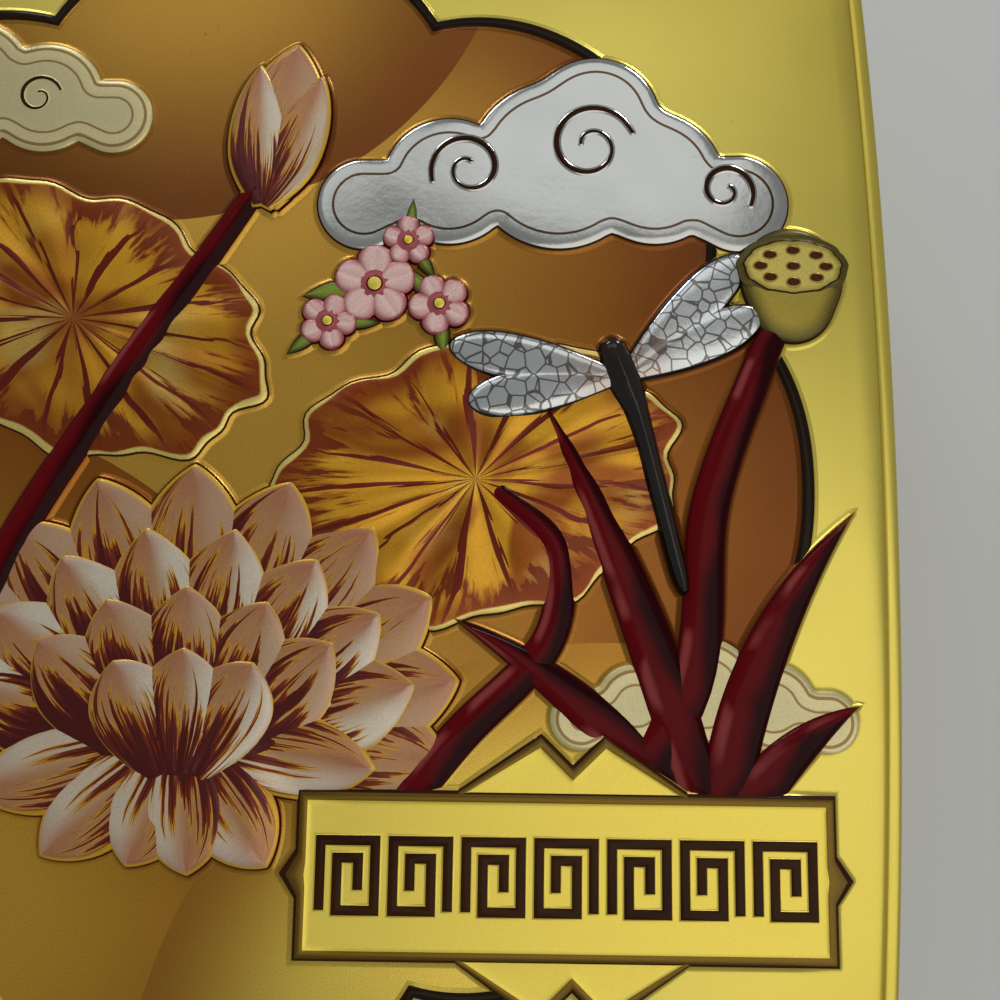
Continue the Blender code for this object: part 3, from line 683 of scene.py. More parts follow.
def enamel(name, lit, shaded, roughness=0.24, gloss=0.04, split=0.25, painted_sheen=None):
    """Opaque glossy enamel in two tones along the stroke: a painted lit side and a painted shaded side,
    split with a wandering edge as if by a flat brush.

    A third, pale tone of painted sheen can be laid along the lit side in soft patches, standing in for the
    enamel's reflection."""
    material, tree, where, across, along = new_finish(name, "across", "along")
    slow = add(tree, "VectorMath", {"operation": "SCALE"}, where, Scale=0.035)
    lane = add(tree, "CombineXYZ", None, add(tree, "Math", TIMES, along, 3.5), 0.0, 0.0)
    uneven = add(tree, "TexNoise", None, add(tree, "VectorMath", PLUS, lane, slow), Scale=1.0, Detail=1.0)
    lean = add(tree, "Math", PLUS, across, add(tree, "MapRange", None, uneven, 0.3, 0.7, -0.5, 0.5))
    # painted light and shade: the lit tone on one side of the stroke, the shaded tone on the other
    mix = add(tree, "MapRange", SMOOTH, lean, -0.1 - split, -0.1 + split)
    colour = add(tree, "Mix", INK, mix, shaded, lit)
    if painted_sheen:
        # painted sheen: pale patches along the lit side stand in for a reflection on the enamel
        painted_sheen_patches = add(tree, "TexNoise", None, where, Scale=0.09, Detail=1.0)
        painted_sheen_patches = add(tree, "MapRange", SMOOTH, painted_sheen_patches, 0.46, 0.58, 0.0, 0.75)
        inner = add(tree, "MapRange", SMOOTH, across, 0.3, 0.6)
        outer = add(tree, "MapRange", SMOOTH, across, 0.72, 0.92, 1.0, 0.0)
        pale = add(tree, "Math", TIMES, add(tree, "Math", TIMES, inner, outer), painted_sheen_patches)
        colour = add(tree, "Mix", INK, pale, colour, painted_sheen)
    waves = add(tree, "TexNoise", None, where, Scale=0.45, Detail=1.0)
    normal = add(tree, "Bump", None, Height=waves, Distance=0.05 * MM, Strength=0.4)
    surface(tree, colour, Roughness=roughness, Normal=normal, Specular_IOR_Level=0.04,
            Coat_Weight=gloss, Coat_Roughness=0.06, Coat_Normal=normal)
    return material


def satin(name, light, dark, metallic=0.7, fade=(0.0, 6.0), grain=(0.82, 1.16)):
    """Grainy translucent lacquer over metal, darker towards its edge."""
    material, tree, where, edge = new_finish(name, "edge")
    inside = add(tree, "MapRange", SMOOTH, edge, *fade)
    lacquered(tree, where, add(tree, "Mix", INK, inside, dark, light), grain, metallic, 0.36)
    return material


# Each enamel's two tones are a painted lit side and a painted shaded side; the maroon also has patches of
# painted sheen.
maroon = enamel("maroon_enamel", "#57040B", "#220104", gloss=0.05, split=0.4, painted_sheen="#8A3F3E")
black = enamel("black_enamel", "#140C06", "#080402", roughness=0.1, gloss=0.8)
dark_stroke = enamel("dark_stroke_enamel", "#1E1206", "#120A03", gloss=0.12)
brown_line = enamel("dark_brown_line_enamel", "#33190A", "#241006", roughness=0.3)
maroon_line = enamel("maroon_line_enamel", "#4A0508", "#3A0406", roughness=0.3)
fret_brown = enamel("fret_brown_enamel", "#321A04", "#2A1403", roughness=0.3, gloss=0.08)
seed_brown = enamel("seed_brown_enamel", "#4A2008", "#1E0C03")
olive = satin("olive_gold_lacquer", "#765B04", "#5A4202", 0.6, (0.4, 1.6))
plaque_yellow = satin("plaque_yellow_lacquer", "#DAC553", "#DAC553", 0.72, grain=(0.94, 1.06))
pod_olive = satin("pod_olive_lacquer", "#9C8A34", "#4A4210", 0.45, (0.2, 3.4))
pod_face = satin("pod_face_lacquer", "#C2B25A", "#8A7A2C", 0.5, (0.2, 1.4))
blossom_pink = satin("blossom_pink_lacquer", "#D8B4B0", "#9A4A50", 0.35, (0.2, 1.7))
leaf_green = satin("leaf_green_lacquer", "#7A8A2A", "#3C4A10", 0.4, (0.2, 1.2))

# %% [markdown]
# The silver cloud is bare bright tin under clear varnish, almost a mirror. What keeps it from being
# one is orange peel, the fine ripple of the varnish about a millimetre across, and the sheet's own
# slow waves. Both are bump, because they are only hundredths of a millimetre high. A thin second
# outline is printed a little way in from the edge.

# %% Bright tin under varnish
INNER_LINE = 2.6                # mm from the edge
silver, tree, where, edge = new_finish("varnished_bright_tin", "edge")
peel = add(tree, "TexNoise", None, where, Scale=0.9, Detail=2.0, Roughness=0.55)
slow = add(tree, "TexNoise", None, where, Scale=0.08, Detail=1.0)
normal = add(tree, "Bump", None, Height=peel, Distance=0.03 * MM, Strength=0.5)
normal = add(tree, "Bump", None, Height=slow, Distance=0.35 * MM, Strength=0.5, Normal=normal)
beside = add(tree, "Math", SIZE, add(tree, "Math", MINUS, edge, INNER_LINE))
drawn = add(tree, "MapRange", SMOOTH, beside, 0.14, 0.26, 1.0, 0.0)
rough = add(tree, "MapRange", None, slow, 0.3, 0.7, 0.12, 0.22)
surface(tree, add(tree, "Mix", INK, drawn, "#ACAEAB", "#4A3218"), Metallic=1.0, Roughness=rough,
        Normal=normal, Coat_Weight=0.5, Coat_Roughness=0.05)

# %% [markdown]
# The small clouds are a pale cream lacquer with two thin printed outlines, the way such clouds are
# drawn on porcelain.

# %% Cream lacquer with printed lines
cream, tree, where, edge = new_finish("cream_lacquer", "edge")
colour = add(tree, "Mix", INK, add(tree, "MapRange", SMOOTH, edge, 0.0, 5.0), "#C9BE8C", "#B9B086")
for line_at, width in ((1.0, 0.18), (3.0, 0.12)):
    beside = add(tree, "Math", SIZE, add(tree, "Math", MINUS, edge, line_at))
    drawn = add(tree, "MapRange", SMOOTH, beside, width, width + 0.12, 0.85, 0.0)
    colour = add(tree, "Mix", INK, drawn, colour, "#7A5A2C")
lacquered(tree, where, colour, (0.88, 1.08), 0.6, 0.36, strength=0.3)

# %% [markdown]
# The leaves are the gold of the picture: lacquer from yellow gold to burnt orange over metal. Flames
# of red-brown brush strokes run in from the edge and thin out towards the middle, and the veins are
# drawn along the leaf's own turn round its middle.

# %% Gold leaf lacquer
VEINS = 17.0
HAIRS = 150.0                   # fine bristle marks round a leaf, which fray its veins
LICKS = 58.0                    # strokes of flame round a leaf
gold_leaf, tree, where, edge, turn, out = new_finish("burnt_gold_lacquer", "edge", "along", "across")
flow = add(tree, "TexNoise", None, where, Scale=0.045, Detail=2.0, Roughness=0.5, Distortion=1.2)
colour = add(tree, "Mix", INK, add(tree, "MapRange", SMOOTH, flow, 0.36, 0.60), "#8E4A04", "#CE9620")
pale = add(tree, "TexNoise", None, where, Scale=0.07, Detail=1.0)
colour = add(tree, "Mix", INK, add(tree, "MapRange", SMOOTH, pale, 0.54, 0.72, 0.0, 0.6), colour, "#D6BC62")
patchy = add(tree, "TexNoise", None, where, Scale=0.11, Detail=1.0)
round_turn, outwards = add(tree, "Math", TIMES, turn, LICKS), add(tree, "Math", TIMES, out, 1.7)
lick = add(tree, "CombineXYZ", None, round_turn, outwards, patchy)
lick = add(tree, "TexNoise", None, lick, Scale=1.0, Detail=3.0, Roughness=0.6)
flame = add(tree, "Math", MINUS, lick, add(tree, "MapRange", None, out, 0.3, 1.0, 0.76, 0.45))
for low, high, most, ink in ((-0.06, -0.01, 0.7, "#9C5208"), (0.0, 0.02, 0.9, "#6A2606")):
    colour = add(tree, "Mix", INK, add(tree, "MapRange", SMOOTH, flame, low, high, 0.0, most), colour, ink)
wander = add(tree, "MapRange", None, patchy, 0.0, 1.0, -0.3, 0.3)
vein = add(tree, "Math", FOLD, add(tree, "Math", TIMES_PLUS, turn, VEINS, wander), 0.5)
hair = add(tree, "CombineXYZ", None, add(tree, "Math", TIMES, turn, HAIRS), out, 0.0)
frayed = add(tree, "TexNoise", None, hair, Scale=1.0, Detail=1.0)
frayed = add(tree, "MapRange", None, frayed, 0.35, 0.65, 0.2, 1.8)
thin = add(tree, "Math", TIMES, add(tree, "MapRange", None, out, 0.15, 0.95, 0.14, 0.015), frayed)
colour = add(tree, "Mix", INK, add(tree, "Math", BELOW, vein, thin), colour, "#641A06")
burnt = add(tree, "MapRange", SMOOTH, edge, 1.2, 5.5, 0.75, 0.0)
colour = add(tree, "Mix", INK, burnt, colour, "#803404")
piping = add(tree, "Math", MINUS, edge, add(tree, "Math", TIMES_PLUS, patchy, -2.2, 1.1))
piping = add(tree, "MapRange", SMOOTH, piping, 0.7, 1.1, 1.0, 0.0)
colour = add(tree, "Mix", INK, piping, colour, "#D8C36E")
lacquered(tree, where, colour, (0.82, 1.14), 0.7, 0.33, coat=0.2, coat_rough=0.1)

# %% [markdown]
# The petals are a warm pink with a white heart, both slightly metallic. Brush streaks of maroon rise
# from each petal's root and thin out towards its tip, and a narrow streak of yellow runs inside the
# edge. The streaks are a noise that is drawn out along the petal and cut by a level that climbs with
# the share along, so every stroke tapers to a point as a brush stroke does. The level is lower towards
# one side of each petal, so the streaks crowd there as painted shadow from the petal beside it.

# %% Petal lacquer
petal_ink, tree, where, edge, along, across, tone = new_finish(
    "pink_petal_lacquer", "edge", "along", "across", "tone")
heart = add(tree, "Math", TIMES, add(tree, "MapRange", SMOOTH, across, -0.55, 0.1, 1.0, 0.0),
            add(tree, "MapRange", SMOOTH, across, -1.0, -0.75, 0.0, 1.0))
colour = add(tree, "Mix", INK, add(tree, "Math", TIMES, heart, tone), "#A87A52", "#C9C0AE")
colour = add(tree, "Mix", INK, add(tree, "MapRange", SMOOTH, along, 0.7, 1.0, 0.0, 0.5), colour, "#A0624E")
drawn = add(tree, "VectorMath", TIMES, add(tree, "CombineXYZ", None, across, along, tone), (8.5, 0.9, 31.0))
fibre = add(tree, "TexNoise", None, drawn, Scale=1.0, Detail=3.0, Roughness=0.65)
# the across term lowers the level towards one side: painted shadow of the neighbouring petal, drawn as
# denser maroon streaks
level = add(tree, "Math", PLUS, add(tree, "MapRange", None, along, 0.0, 0.95, 0.30, 0.70),
            add(tree, "MapRange", None, across, -1.0, 1.0, 0.10, -0.12))
streak = add(tree, "Math", MINUS, fibre, level)
colour = add(tree, "Mix", INK, add(tree, "MapRange", SMOOTH, streak, -0.035, -0.012), colour, "#C08C18")
streak_ink = add(tree, "Mix", INK, add(tree, "MapRange", SMOOTH, streak, 0.03, 0.12), "#74260A", "#480603")
colour = add(tree, "Mix", INK, add(tree, "MapRange", SMOOTH, streak, 0.0, 0.02), colour, streak_ink)
rim = add(tree, "MapRange", SMOOTH, edge, 0.6, 0.95, 0.9, 0.0)
colour = add(tree, "Mix", INK, rim, colour, "#CBA424")
lacquered(tree, where, colour, (0.86, 1.08), 0.4, 0.34, strength=0.3, coat_rough=0.1)

# %% [markdown]
# A dragonfly's wing is a net of veins over something clear. Here the net is a cell pattern's edges,
# with cells about two millimetres across, in black over the bright tin.

# %% Veined wing
wing_ink, tree, where, edge, along = new_finish("veined_bright_tin", "edge", "along")
cells = add(tree, "TexVoronoi", {"feature": "DISTANCE_TO_EDGE"}, where, Scale=0.42)
net = add(tree, "MapRange", SMOOTH, cells, 0.03, 0.07, 0.8, 0.0)
colour = add(tree, "Mix", INK, net, "#BDC2C4", "#3A2E2A")
colour = add(tree, "Mix", INK, add(tree, "MapRange", SMOOTH, along, 0.0, 0.5, 0.45, 0.0), colour, "#8A5A2A")
colour = add(tree, "Mix", INK, add(tree, "MapRange", SMOOTH, edge, 0.35, 0.5, 1.0, 0.0), colour, "#120C08")
ripple = add(tree, "TexNoise", None, where, Scale=0.9, Detail=2.0)
normal = add(tree, "Bump", None, Height=ripple, Distance=0.03 * MM, Strength=0.5)
surface(tree, colour, Metallic=0.9, Roughness=0.16, Normal=normal, Coat_Weight=0.3, Coat_Roughness=0.05)

# %% [markdown]
# Three round lotus leaves lie behind everything else. A leaf's sheet isn't flat: it is pressed into
# long soft folds that run out from its middle, which is what catches the light on the gold.

# %% Leaves


def leaf_folds(ribs, phase, height):
    """Soft folds that run out from a leaf's middle and die away at its edge."""
    def folds(flat, distance, half, along, across):
        share = distance / half
        swell = np.sin(math.pi * np.clip(share, 0, 1) ** 0.8)
        wave = np.sin(math.tau * ribs * along + phase + 1.4 * share)
        return height * swell * wave * 0.5 + 0.1 * swell
    return folds


LEAF_RISE = 0.6
LEAVES = (                      # centre, half length and width, turn, phase, folds and their height
    ((-62, -30), 30, 20, 20, 2.0, 11, 0.30),
    ((-24, 24), 31, 20, -22, 1.0, 12, 0.30),
    ((38, 0), 31, 21, 12, 0.0, 11, 0.34),
)
join("gold_lotus_leaves", [
    emboss(f"leaf_{number}", disc_leaf(*shape, phase=phase), LEAF_RISE + 0.05 * number,
           (ground, brown_line, gold_leaf), folds=leaf_folds(ribs, number, height), broad=True)
    for number, (*shape, phase, ribs, height) in enumerate(LEAVES)])

# %% [markdown]
# One large cloud is left as bright tin, the mirror of the picture, and two smaller ones are a pale
# cream. The silver one has a brown key line, and the cream ones only the lines of their own lacquer.

# %% Clouds
CLOUD_RISE = 0.7
CREAM_RISE = 0.5                # enough to pass over the scalloped line
large = [(0, 0, 14), (-17, -3, 10.5), (-30, -7, 7.5), (15, -2, 11), (28, -6, 8), (6, 8, 10)]
small = [(0, 0, 8), (-10, -2, 6), (-18, -4, 4.5), (10, -2, 6.5), (18, -4, 4.5)]
left = [(0, 0, 11), (-14, -3, 8), (13, -2, 9), (24, -5, 6)]
emboss("silver_cloud", puff((50, 50), large, 220), CLOUD_RISE, (ground, brown_line, silver), broad=True)
emboss_all("cream_clouds", ((puff((72, -31), small), CREAM_RISE), (puff((-44, 62), left), CREAM_RISE)),
           (ground, cream, cream), broad=True)

# %% [markdown]
# A plaque lies over the picture's lower right, with a double-peaked crest above and below it. Whatever
# comes from behind it starts low there: it dives under the frame's ridge and climbs to its full height
# a few millimetres further out.

# %% Where the plaque lies
PLAQUE = (51.95, -57.2)
PLAQUE_SIZE = (77.5, 23.7)
CREST_SHIFT = 0.9               # of the crests from the plaque's middle
CREST = ((19.6, -2.0), (4.6, 8.2), (0.0, 3.8), (-4.6, 8.2), (-19.6, -2.0))
CLIMB = 7.0                     # mm, over which a stem gains its full height outside the frame
DIVE = 2.0                      # mm, over which it dives away under the frame


def behind_plaque(flat):
    """Share of its height that a motif has at its points, 0 inside the plaque and 1 well outside it."""
    crest_x, crest_y = np.array(CREST)[::-1].T
    x, y = (flat - np.array(PLAQUE)).T
    top = np.interp(x - CREST_SHIFT, crest_x, np.maximum(crest_y, 0.0))
    away = np.maximum(y - PLAQUE_SIZE[1] / 2 - top, np.abs(x) - PLAQUE_SIZE[0] / 2)
    outside, inside = np.clip(away / CLIMB, 0, 1), np.clip(1 + away / DIVE, 0, 1)
    return 0.5 * inside + 0.5 * outside * outside * (3 - 2 * outside)


# %% [markdown]
# Stems and reeds are one stroke each of glossy maroon enamel, the boldest relief after the blossom.
# Those on the right rise from behind the plaque, and those on the left from the water.

# %% Stems and reeds
REED_RISE = 1.15
STEMS = (                       # rise, then points x, y and half width: bud stem, bent leaf stem, pod stem
    (1.3, (-30, -88, 3.2), (-37, -62, 3.0), (-35, -22, 2.7), (-18, 12, 2.4), (-4, 34, 2.1), (3, 45, 1.8)),
    (1.05, (24, -53, 3.0), (36, -38, 2.8), (49, -24, 2.5), (50, -10, 2.1), (42, -2, 1.5)),
    (1.1, (56, -53, 3.4), (70, -30, 3.2), (73, -4, 2.9), (80, 16, 2.5), (85, 27, 2.0)),
)
REEDS = (                       # the first root's x and y, then each reed's heading, length, width and bend
    (72, -53, (124, 50, 6.6, 30), (104, 70, 7.2, 14), (86, 54, 7.6, -38), (66, 29, 7.0, -40)),
    (-64, -84, (128, 34, 5.6, 24), (104, 50, 6.4, 12), (76, 34, 5.8, -26)),
)
MAROON = (ground, maroon_line, maroon)
strokes = []
for rise, *path in STEMS:
    from_water = path[0][0] < 0
    strokes.append(emboss("stem", band(path), rise, MAROON, dome=0.25, soft=0.75,
                          sink=0.08 if from_water else 0, behind=None if from_water else behind_plaque))
for x, y, *reeds in REEDS:
    from_water = x < 0
    for number, (heading, length, width, bend) in enumerate(reeds):
        shape = petal((x + number, y), heading, length, width, bend, widest=0.3, root=0.7, tip=1.0,
                      steps=40)
        strokes.append(emboss("reed", shape, REED_RISE + 0.04 * number, MAROON, dome=0.25, soft=0.75,
                              sink=8.0 / length if from_water else 0,
                              behind=None if from_water else behind_plaque))
join("maroon_stems_and_reeds", strokes)

# %% [markdown]
# The blossom is built as it grows: rings of petals, each ring shorter, and a step higher than the
# one outside it, with a few petals curling down in front.

# %% The blossom
BLOSSOM = (-4.0, -36.0)
PETAL_RISE = 0.85
PETAL_STEP = 0.25
PETAL = (ground, maroon_line, petal_ink)
RINGS = (                       # count, spread, length, width, shift and whiteness, outermost first
    (11, 20, 38, 18, 0, 0.15), (8, 21, 32, 16, -3, 0.9), (5, 23, 26, 15, -6, 0.3),
    (3, 26, 19, 14, -8, 0.95))
LOW_PETALS = ((196, 31), (-9, 29), (222, 26), (-54, 23), (250, 20), (-84, 20))      # heading and length


def petal_folds(flat, distance, half, along, across):
    """A shallow furrow down the middle and a lift towards the tip."""
    inside = np.clip(distance / half, 0, 1)
    return inside * (0.16 * np.clip(along, 0, 1) ** 2 - 0.10 * np.exp(-(across / 0.22) ** 2))


def blossom_ring(level, count, spread, length, width, shift, whiteness):
    """One ring of petals with their rises, the outermost ones first."""
    middle = (count - 1) / 2
    shapes = []
    for number, index in enumerate(sorted(range(count), key=lambda i: -abs(i - middle))):
        heading = 90 + (index - middle) * spread
        lean = math.cos(math.radians((heading - 90) * 0.62))
        root = (BLOSSOM[0] + 5 * math.cos(math.radians(heading)), BLOSSOM[1] + shift)
        shape = petal(root, heading, length * (0.86 + 0.14 * lean), width, tone=whiteness + 0.02 * index,
                      hidden=0.0 if level == 3 else 0.42)
        shapes.append((shape, PETAL_RISE + level * PETAL_STEP + 0.01 * number))
    return shapes


for level, ring in enumerate(RINGS):
    emboss_all(f"blossom_petals_{level}", blossom_ring(level, *ring), PETAL, dome=0.12,
               folds=petal_folds, behind=behind_plaque)
low_root = (BLOSSOM[0], BLOSSOM[1] - 2)
emboss_all("blossom_petals_low", [
    (petal(low_root, *run, 13, root=0.4, tone=0.8), PETAL_RISE + 1.6 * PETAL_STEP + 0.05 * number)
    for number, run in enumerate(LOW_PETALS)], PETAL, dome=0.12, folds=petal_folds, behind=behind_plaque)

# %% [markdown]
# A raised dark line follows the scalloped edge of the field, like the lead of a stained window. It is
# one closed loop, so instead of a cap its last ring of points is merged with its first.

# %% The scalloped line
LINE_HALF = 0.95                # mm
LINE_INK = 0.93                 # half the width of its ink
LINE_RISE = 0.42
LINE_STEPS = 44                 # points for each lobe
LINE_SIDE = (1.8, 1.55, 1.3, 1.1, LINE_INK, 0.75, 0.4)      # where its rings lie on each side


def scallop(offset):
    """Points of the field's edge, moved outwards by an offset in mm."""
    passed = np.arange(FIELD_LOBES * LINE_STEPS) / LINE_STEPS
    lobe = np.abs((passed + 0.5) % 1.0 * 2 - 1)
    angle = math.tau * passed / FIELD_LOBES
    reach = FIELD_RADIUS - CUSP_DEPTH * lobe ** CUSP_POWER + offset
    return np.column_stack((reach * np.cos(angle), reach * np.sin(angle)))


line_rings, line_bands = [], []
for offset in (*LINE_SIDE, 0.0, *(-offset for offset in LINE_SIDE[::-1])):
    height = LINE_RISE * slope(LINE_HALF - abs(offset)) - (EMBED if abs(offset) == LINE_SIDE[0] else 0.0)
    flat = scallop(offset) * MM
    line_rings.append(np.column_stack((flat, np.full(len(flat), PANEL + height * MM))))
    line_bands.append(1 if -LINE_INK < offset <= LINE_INK else 0)
dark_line = grow("scalloped_dark_line", line_rings + line_rings[:1], line_bands, (ground, dark_stroke),
                 (False, False))
print("scalloped line:", len(dark_line.data.polygons), "faces")

# %% [markdown]
# The clouds carry the curled lines that such clouds are always drawn with, thin spiral strokes in the
# brown of the silver cloud's outline. The reeds would hide those of the smallest, so it has none.

# %% Cloud curls
CURL_SINK = 0.01                # mm, by which a curl starts under its cloud's face
SILVER_CURLS = (((36, 49), 6.0, 200, -1.35), ((55, 53), 7.0, 20, 1.4), ((76, 46), 4.6, 330, 1.2))
CREAM_CURLS = (((-44, 62), 5.0, 200, -1.3), ((-32, 60), 3.6, 20, 1.2))
emboss_all("silver_cloud_curls", [(curl(*run, 0.42), 0.28) for run in SILVER_CURLS],
           (silver, brown_line, brown_line), base=CLOUD_RISE - CURL_SINK, wide=0.45)
emboss_all("cream_cloud_curls", [(curl(*run, 0.3), 0.16) for run in CREAM_CURLS],
           (cream, brown_line, brown_line), base=CREAM_RISE - CURL_SINK, wide=0.4)

# %% [markdown]
# The bud, the seed pod, the small pink blossoms and the dragonfly are the picture's small things.
# The dragonfly is where the printer used plain black, the glossiest ink on the lid.

# %% Bud and seed pod
BUD = (                         # heading, length, width, bend, whiteness and rise
    (80, 28, 16, 0, 0.2, 1.05), (98, 24, 10, -12, 0.9, 1.3), (62, 24, 10, 12, 0.6, 1.25))
POD = (86, 28)
POD_FACE = (86, 33.5)
FACE_BASE = 1.45                # heights that the pod's face and the seeds on it stand at
SEED_BASE = 1.78
SEEDS = 8                       # round the one in the middle
emboss_all("lotus_bud", [(petal((4, 42), *run, widest=0.4, tone=whiteness), rise)
                         for *run, whiteness, rise in BUD], PETAL, dome=0.2, folds=petal_folds)
face = disc_leaf(POD_FACE, 7.6, 4.3, waves=11, depth=0.016, steps=132)
pod = [
    emboss("pod", puff(POD, ((0, 0, 6.5), (0, 4, 8)), 90), 1.4, (ground, brown_line, pod_olive),
           dome=0.2, broad=True),
    emboss("pod_face", face, 0.35, (pod_olive, brown_line, pod_face), base=FACE_BASE),
]
spots = [(5.0 * math.cos(angle), 2.5 * math.sin(angle)) for angle in np.arange(SEEDS) * math.tau / SEEDS]
for x, y in (*spots, (0, 0)):
    seed = disc_leaf((POD_FACE[0] + x, POD_FACE[1] + y), 0.95, 0.62, depth=0.0, steps=18)
    pod.append(emboss("seed", seed, 0.3, (pod_face, brown_line, seed_brown), base=SEED_BASE, wide=0.4))
join("seed_pod", pod)

# %% Small blossoms
SMALL_BLOSSOMS = ((22, 30, 6.5), (32, 27, 5.0), (15, 24, 4.6), (27, 37, 4.2))       # x, y and radius
small_blossoms = []
for number, (x, y, radius) in enumerate(SMALL_BLOSSOMS):
    rise = 1.1 + 0.05 * number
    for part in range(2):
        shape = petal((x, y), 50 + 85 * number + 140 * part, radius * 1.75, radius * 0.55, widest=0.5,
                      tip=1.0, steps=12)
        small_blossoms.append(emboss("leaf", shape, rise - 0.25, (ground, brown_line, leaf_green)))
    for part in range(5):
        shape = petal((x, y), 90 + 25 * number + 72 * part, radius, radius * 0.95, widest=0.62,
                      root=0.25, tip=0.5, steps=12)
        small_blossoms.append(emboss("petal", shape, rise + 0.02 * part,
                                     (ground, maroon_line, blossom_pink), folds=petal_folds))
    eye = puff((x, y), ((0, 0, radius * 0.2),), 16)
    small_blossoms.append(emboss("eye", eye, 0.35, (blossom_pink, maroon_line, plaque_yellow), base=rise))
join("small_blossoms", small_blossoms)

# %% Dragonfly
WINGS = ((46, 27), (26, 24), (170, 27), (190, 24))      # heading and length
BODY = ((58.6, 20, 2.3), (60.5, 15, 2.6), (63, 8, 1.7), (68, -12, 1.4), (69, -16, 0.9))
emboss_all("dragonfly_wings", [
    (petal((60, 16), *run, 7.5, widest=0.66, root=0.3, tip=0.5), 1.3 + 0.03 * number)
    for number, run in enumerate(WINGS)], (ground, black, wing_ink))
emboss("dragonfly_body", band(BODY), 1.6, (ground, black, black), dome=0.5)

# %% [markdown]
# The plaque is a frame pressed up as a flat-topped ridge round a smooth yellow field, and each crest
# is a lower copy of the same frame in another shape. Both are grown from their outline, inset step by
# step with mitred corners; the plaque's ends have a small point that dies away inwards.

# %% The plaque and its crests
END_POINT = 2.3
POINT_DEPTH = 1.7               # mm, over which an end point dies away inwards
POINT_HALF = 3.4                # half the height of an end point at its root
CREST_LOWERED = 0.15            # share by which a crest is lower than the plaque
SIDE_DIVISIONS = 12
FRAME_FINISHES = (ground, brown_line, olive, plaque_yellow)
FRAME_STEPS = (                 # inset, height and finish, from the foot to the flat field
    (-1.05, -EMBED, 0), (-0.97, -HIDE, 0), (-0.9, -HIDE, 0), (-0.78, 0.005, 0), (-0.62, 0.034, 0),
    (-0.4, 0.11, 0), (-0.2, 0.22, 0), (0.0, 0.36, 1),
    (0.2, 0.6, 1), (0.45, 0.8, 2), (0.75, 0.9, 2), (1.05, 0.92, 2), (1.35, 0.9, 2),
    (1.55, 0.83, 3), (1.75, 0.76, 3), (2.0, 0.72, 3), (2.4, 0.7, 3),
)
FIELD_HEIGHT = FRAME_STEPS[-1][1]       # of the flat field over the panel


def divided(corners):
    """A closed outline with every side divided evenly."""
    shares = np.arange(SIDE_DIVISIONS)[:, None] / SIDE_DIVISIONS
    runs = np.roll(corners, -1, axis=0) - corners
    return np.vstack([corner + run * shares for corner, run in zip(corners, runs)])


def plaque_corners(inset):
    """The plaque's corners at an inset, with the end points between them."""
    half_x, half_y = PLAQUE_SIZE[0] / 2 - inset, PLAQUE_SIZE[1] / 2 - inset
    share = max(0.0, 1 - max(inset, 0) / POINT_DEPTH)
    ends = POINT_HALF * (0.5 + 0.5 * share)
    right = [(half_x, -half_y), (half_x, -ends), (half_x + END_POINT * share, 0), (half_x, ends),
             (half_x, half_y)]
    return np.array(right + [(-x, -y) for x, y in right]) + PLAQUE


def crest_corners(inset, side):
    """A crest's corners at an inset; side is 1 above the plaque and -1 below it."""
    corners = np.array(CREST)
    corners = (corners - outward(corners) * inset) * (1, side)
    return corners[::side] + (PLAQUE[0] + CREST_SHIFT, PLAQUE[1] + side * PLAQUE_SIZE[1] / 2)


def framed(name, corners_at, lowered=0.0):
    """A ridged frame round a flat field, from a function that gives its corners at an inset."""
    rings, edges = [], []
    for inset, height, _ in FRAME_STEPS:
        flat = divided(corners_at(inset))
        rings.append(np.column_stack((flat * MM, np.full(len(flat), PANEL + height * (1 - lowered) * MM))))
        edges.append(np.full(len(flat), max(inset, 0.0)))
    piece = grow(name, rings, [finish for *_, finish in FRAME_STEPS], FRAME_FINISHES,
                 layers={"edge": edges, "across": edges})
    print(name + ":", len(piece.data.polygons), "faces")
    return piece


framed("plaque", plaque_corners)
join("plaque_crests", [
    framed("crest_above", lambda inset: crest_corners(inset, 1), CREST_LOWERED),
    framed("crest_below", lambda inset: crest_corners(inset, -1), CREST_LOWERED),
])

# %% [markdown]
# On the field stands a key fret, squared spirals in a row as on old bronzes, in raised dark brown.
# Each spiral is one stroke with mitred corners, and every second one is its neighbour's mirror image.

# %% The key fret
FRET_HALF = 0.7                 # mm, half the stroke's width
FRET_PITCH = 10.4
FRET_COUNT = 7
SPIRAL = ((-3.9, -4.8), (-3.9, 4.8), (3.9, 4.8), (3.9, -4.8),
          (-1.5, -4.8), (-1.5, 2.4), (1.5, 2.4), (1.5, -2.0))
fret = []
for number in range(FRET_COUNT):
    flip = -1 if number % 2 else 1
    middle = PLAQUE[0] + (number - (FRET_COUNT - 1) / 2) * FRET_PITCH
    fret.append((stroke([(middle + flip * x, PLAQUE[1] + y) for x, y in SPIRAL], FRET_HALF), 0.4))
emboss_all("key_fret", fret, (plaque_yellow, fret_brown, fret_brown), base=FIELD_HEIGHT, wide=0.3)

# %% [markdown]
# The water that the left stems stand in is three lines of ripples, and the panel's four corners hold
# a small hooked fret each, both in the frame's olive gold with a dark edge.

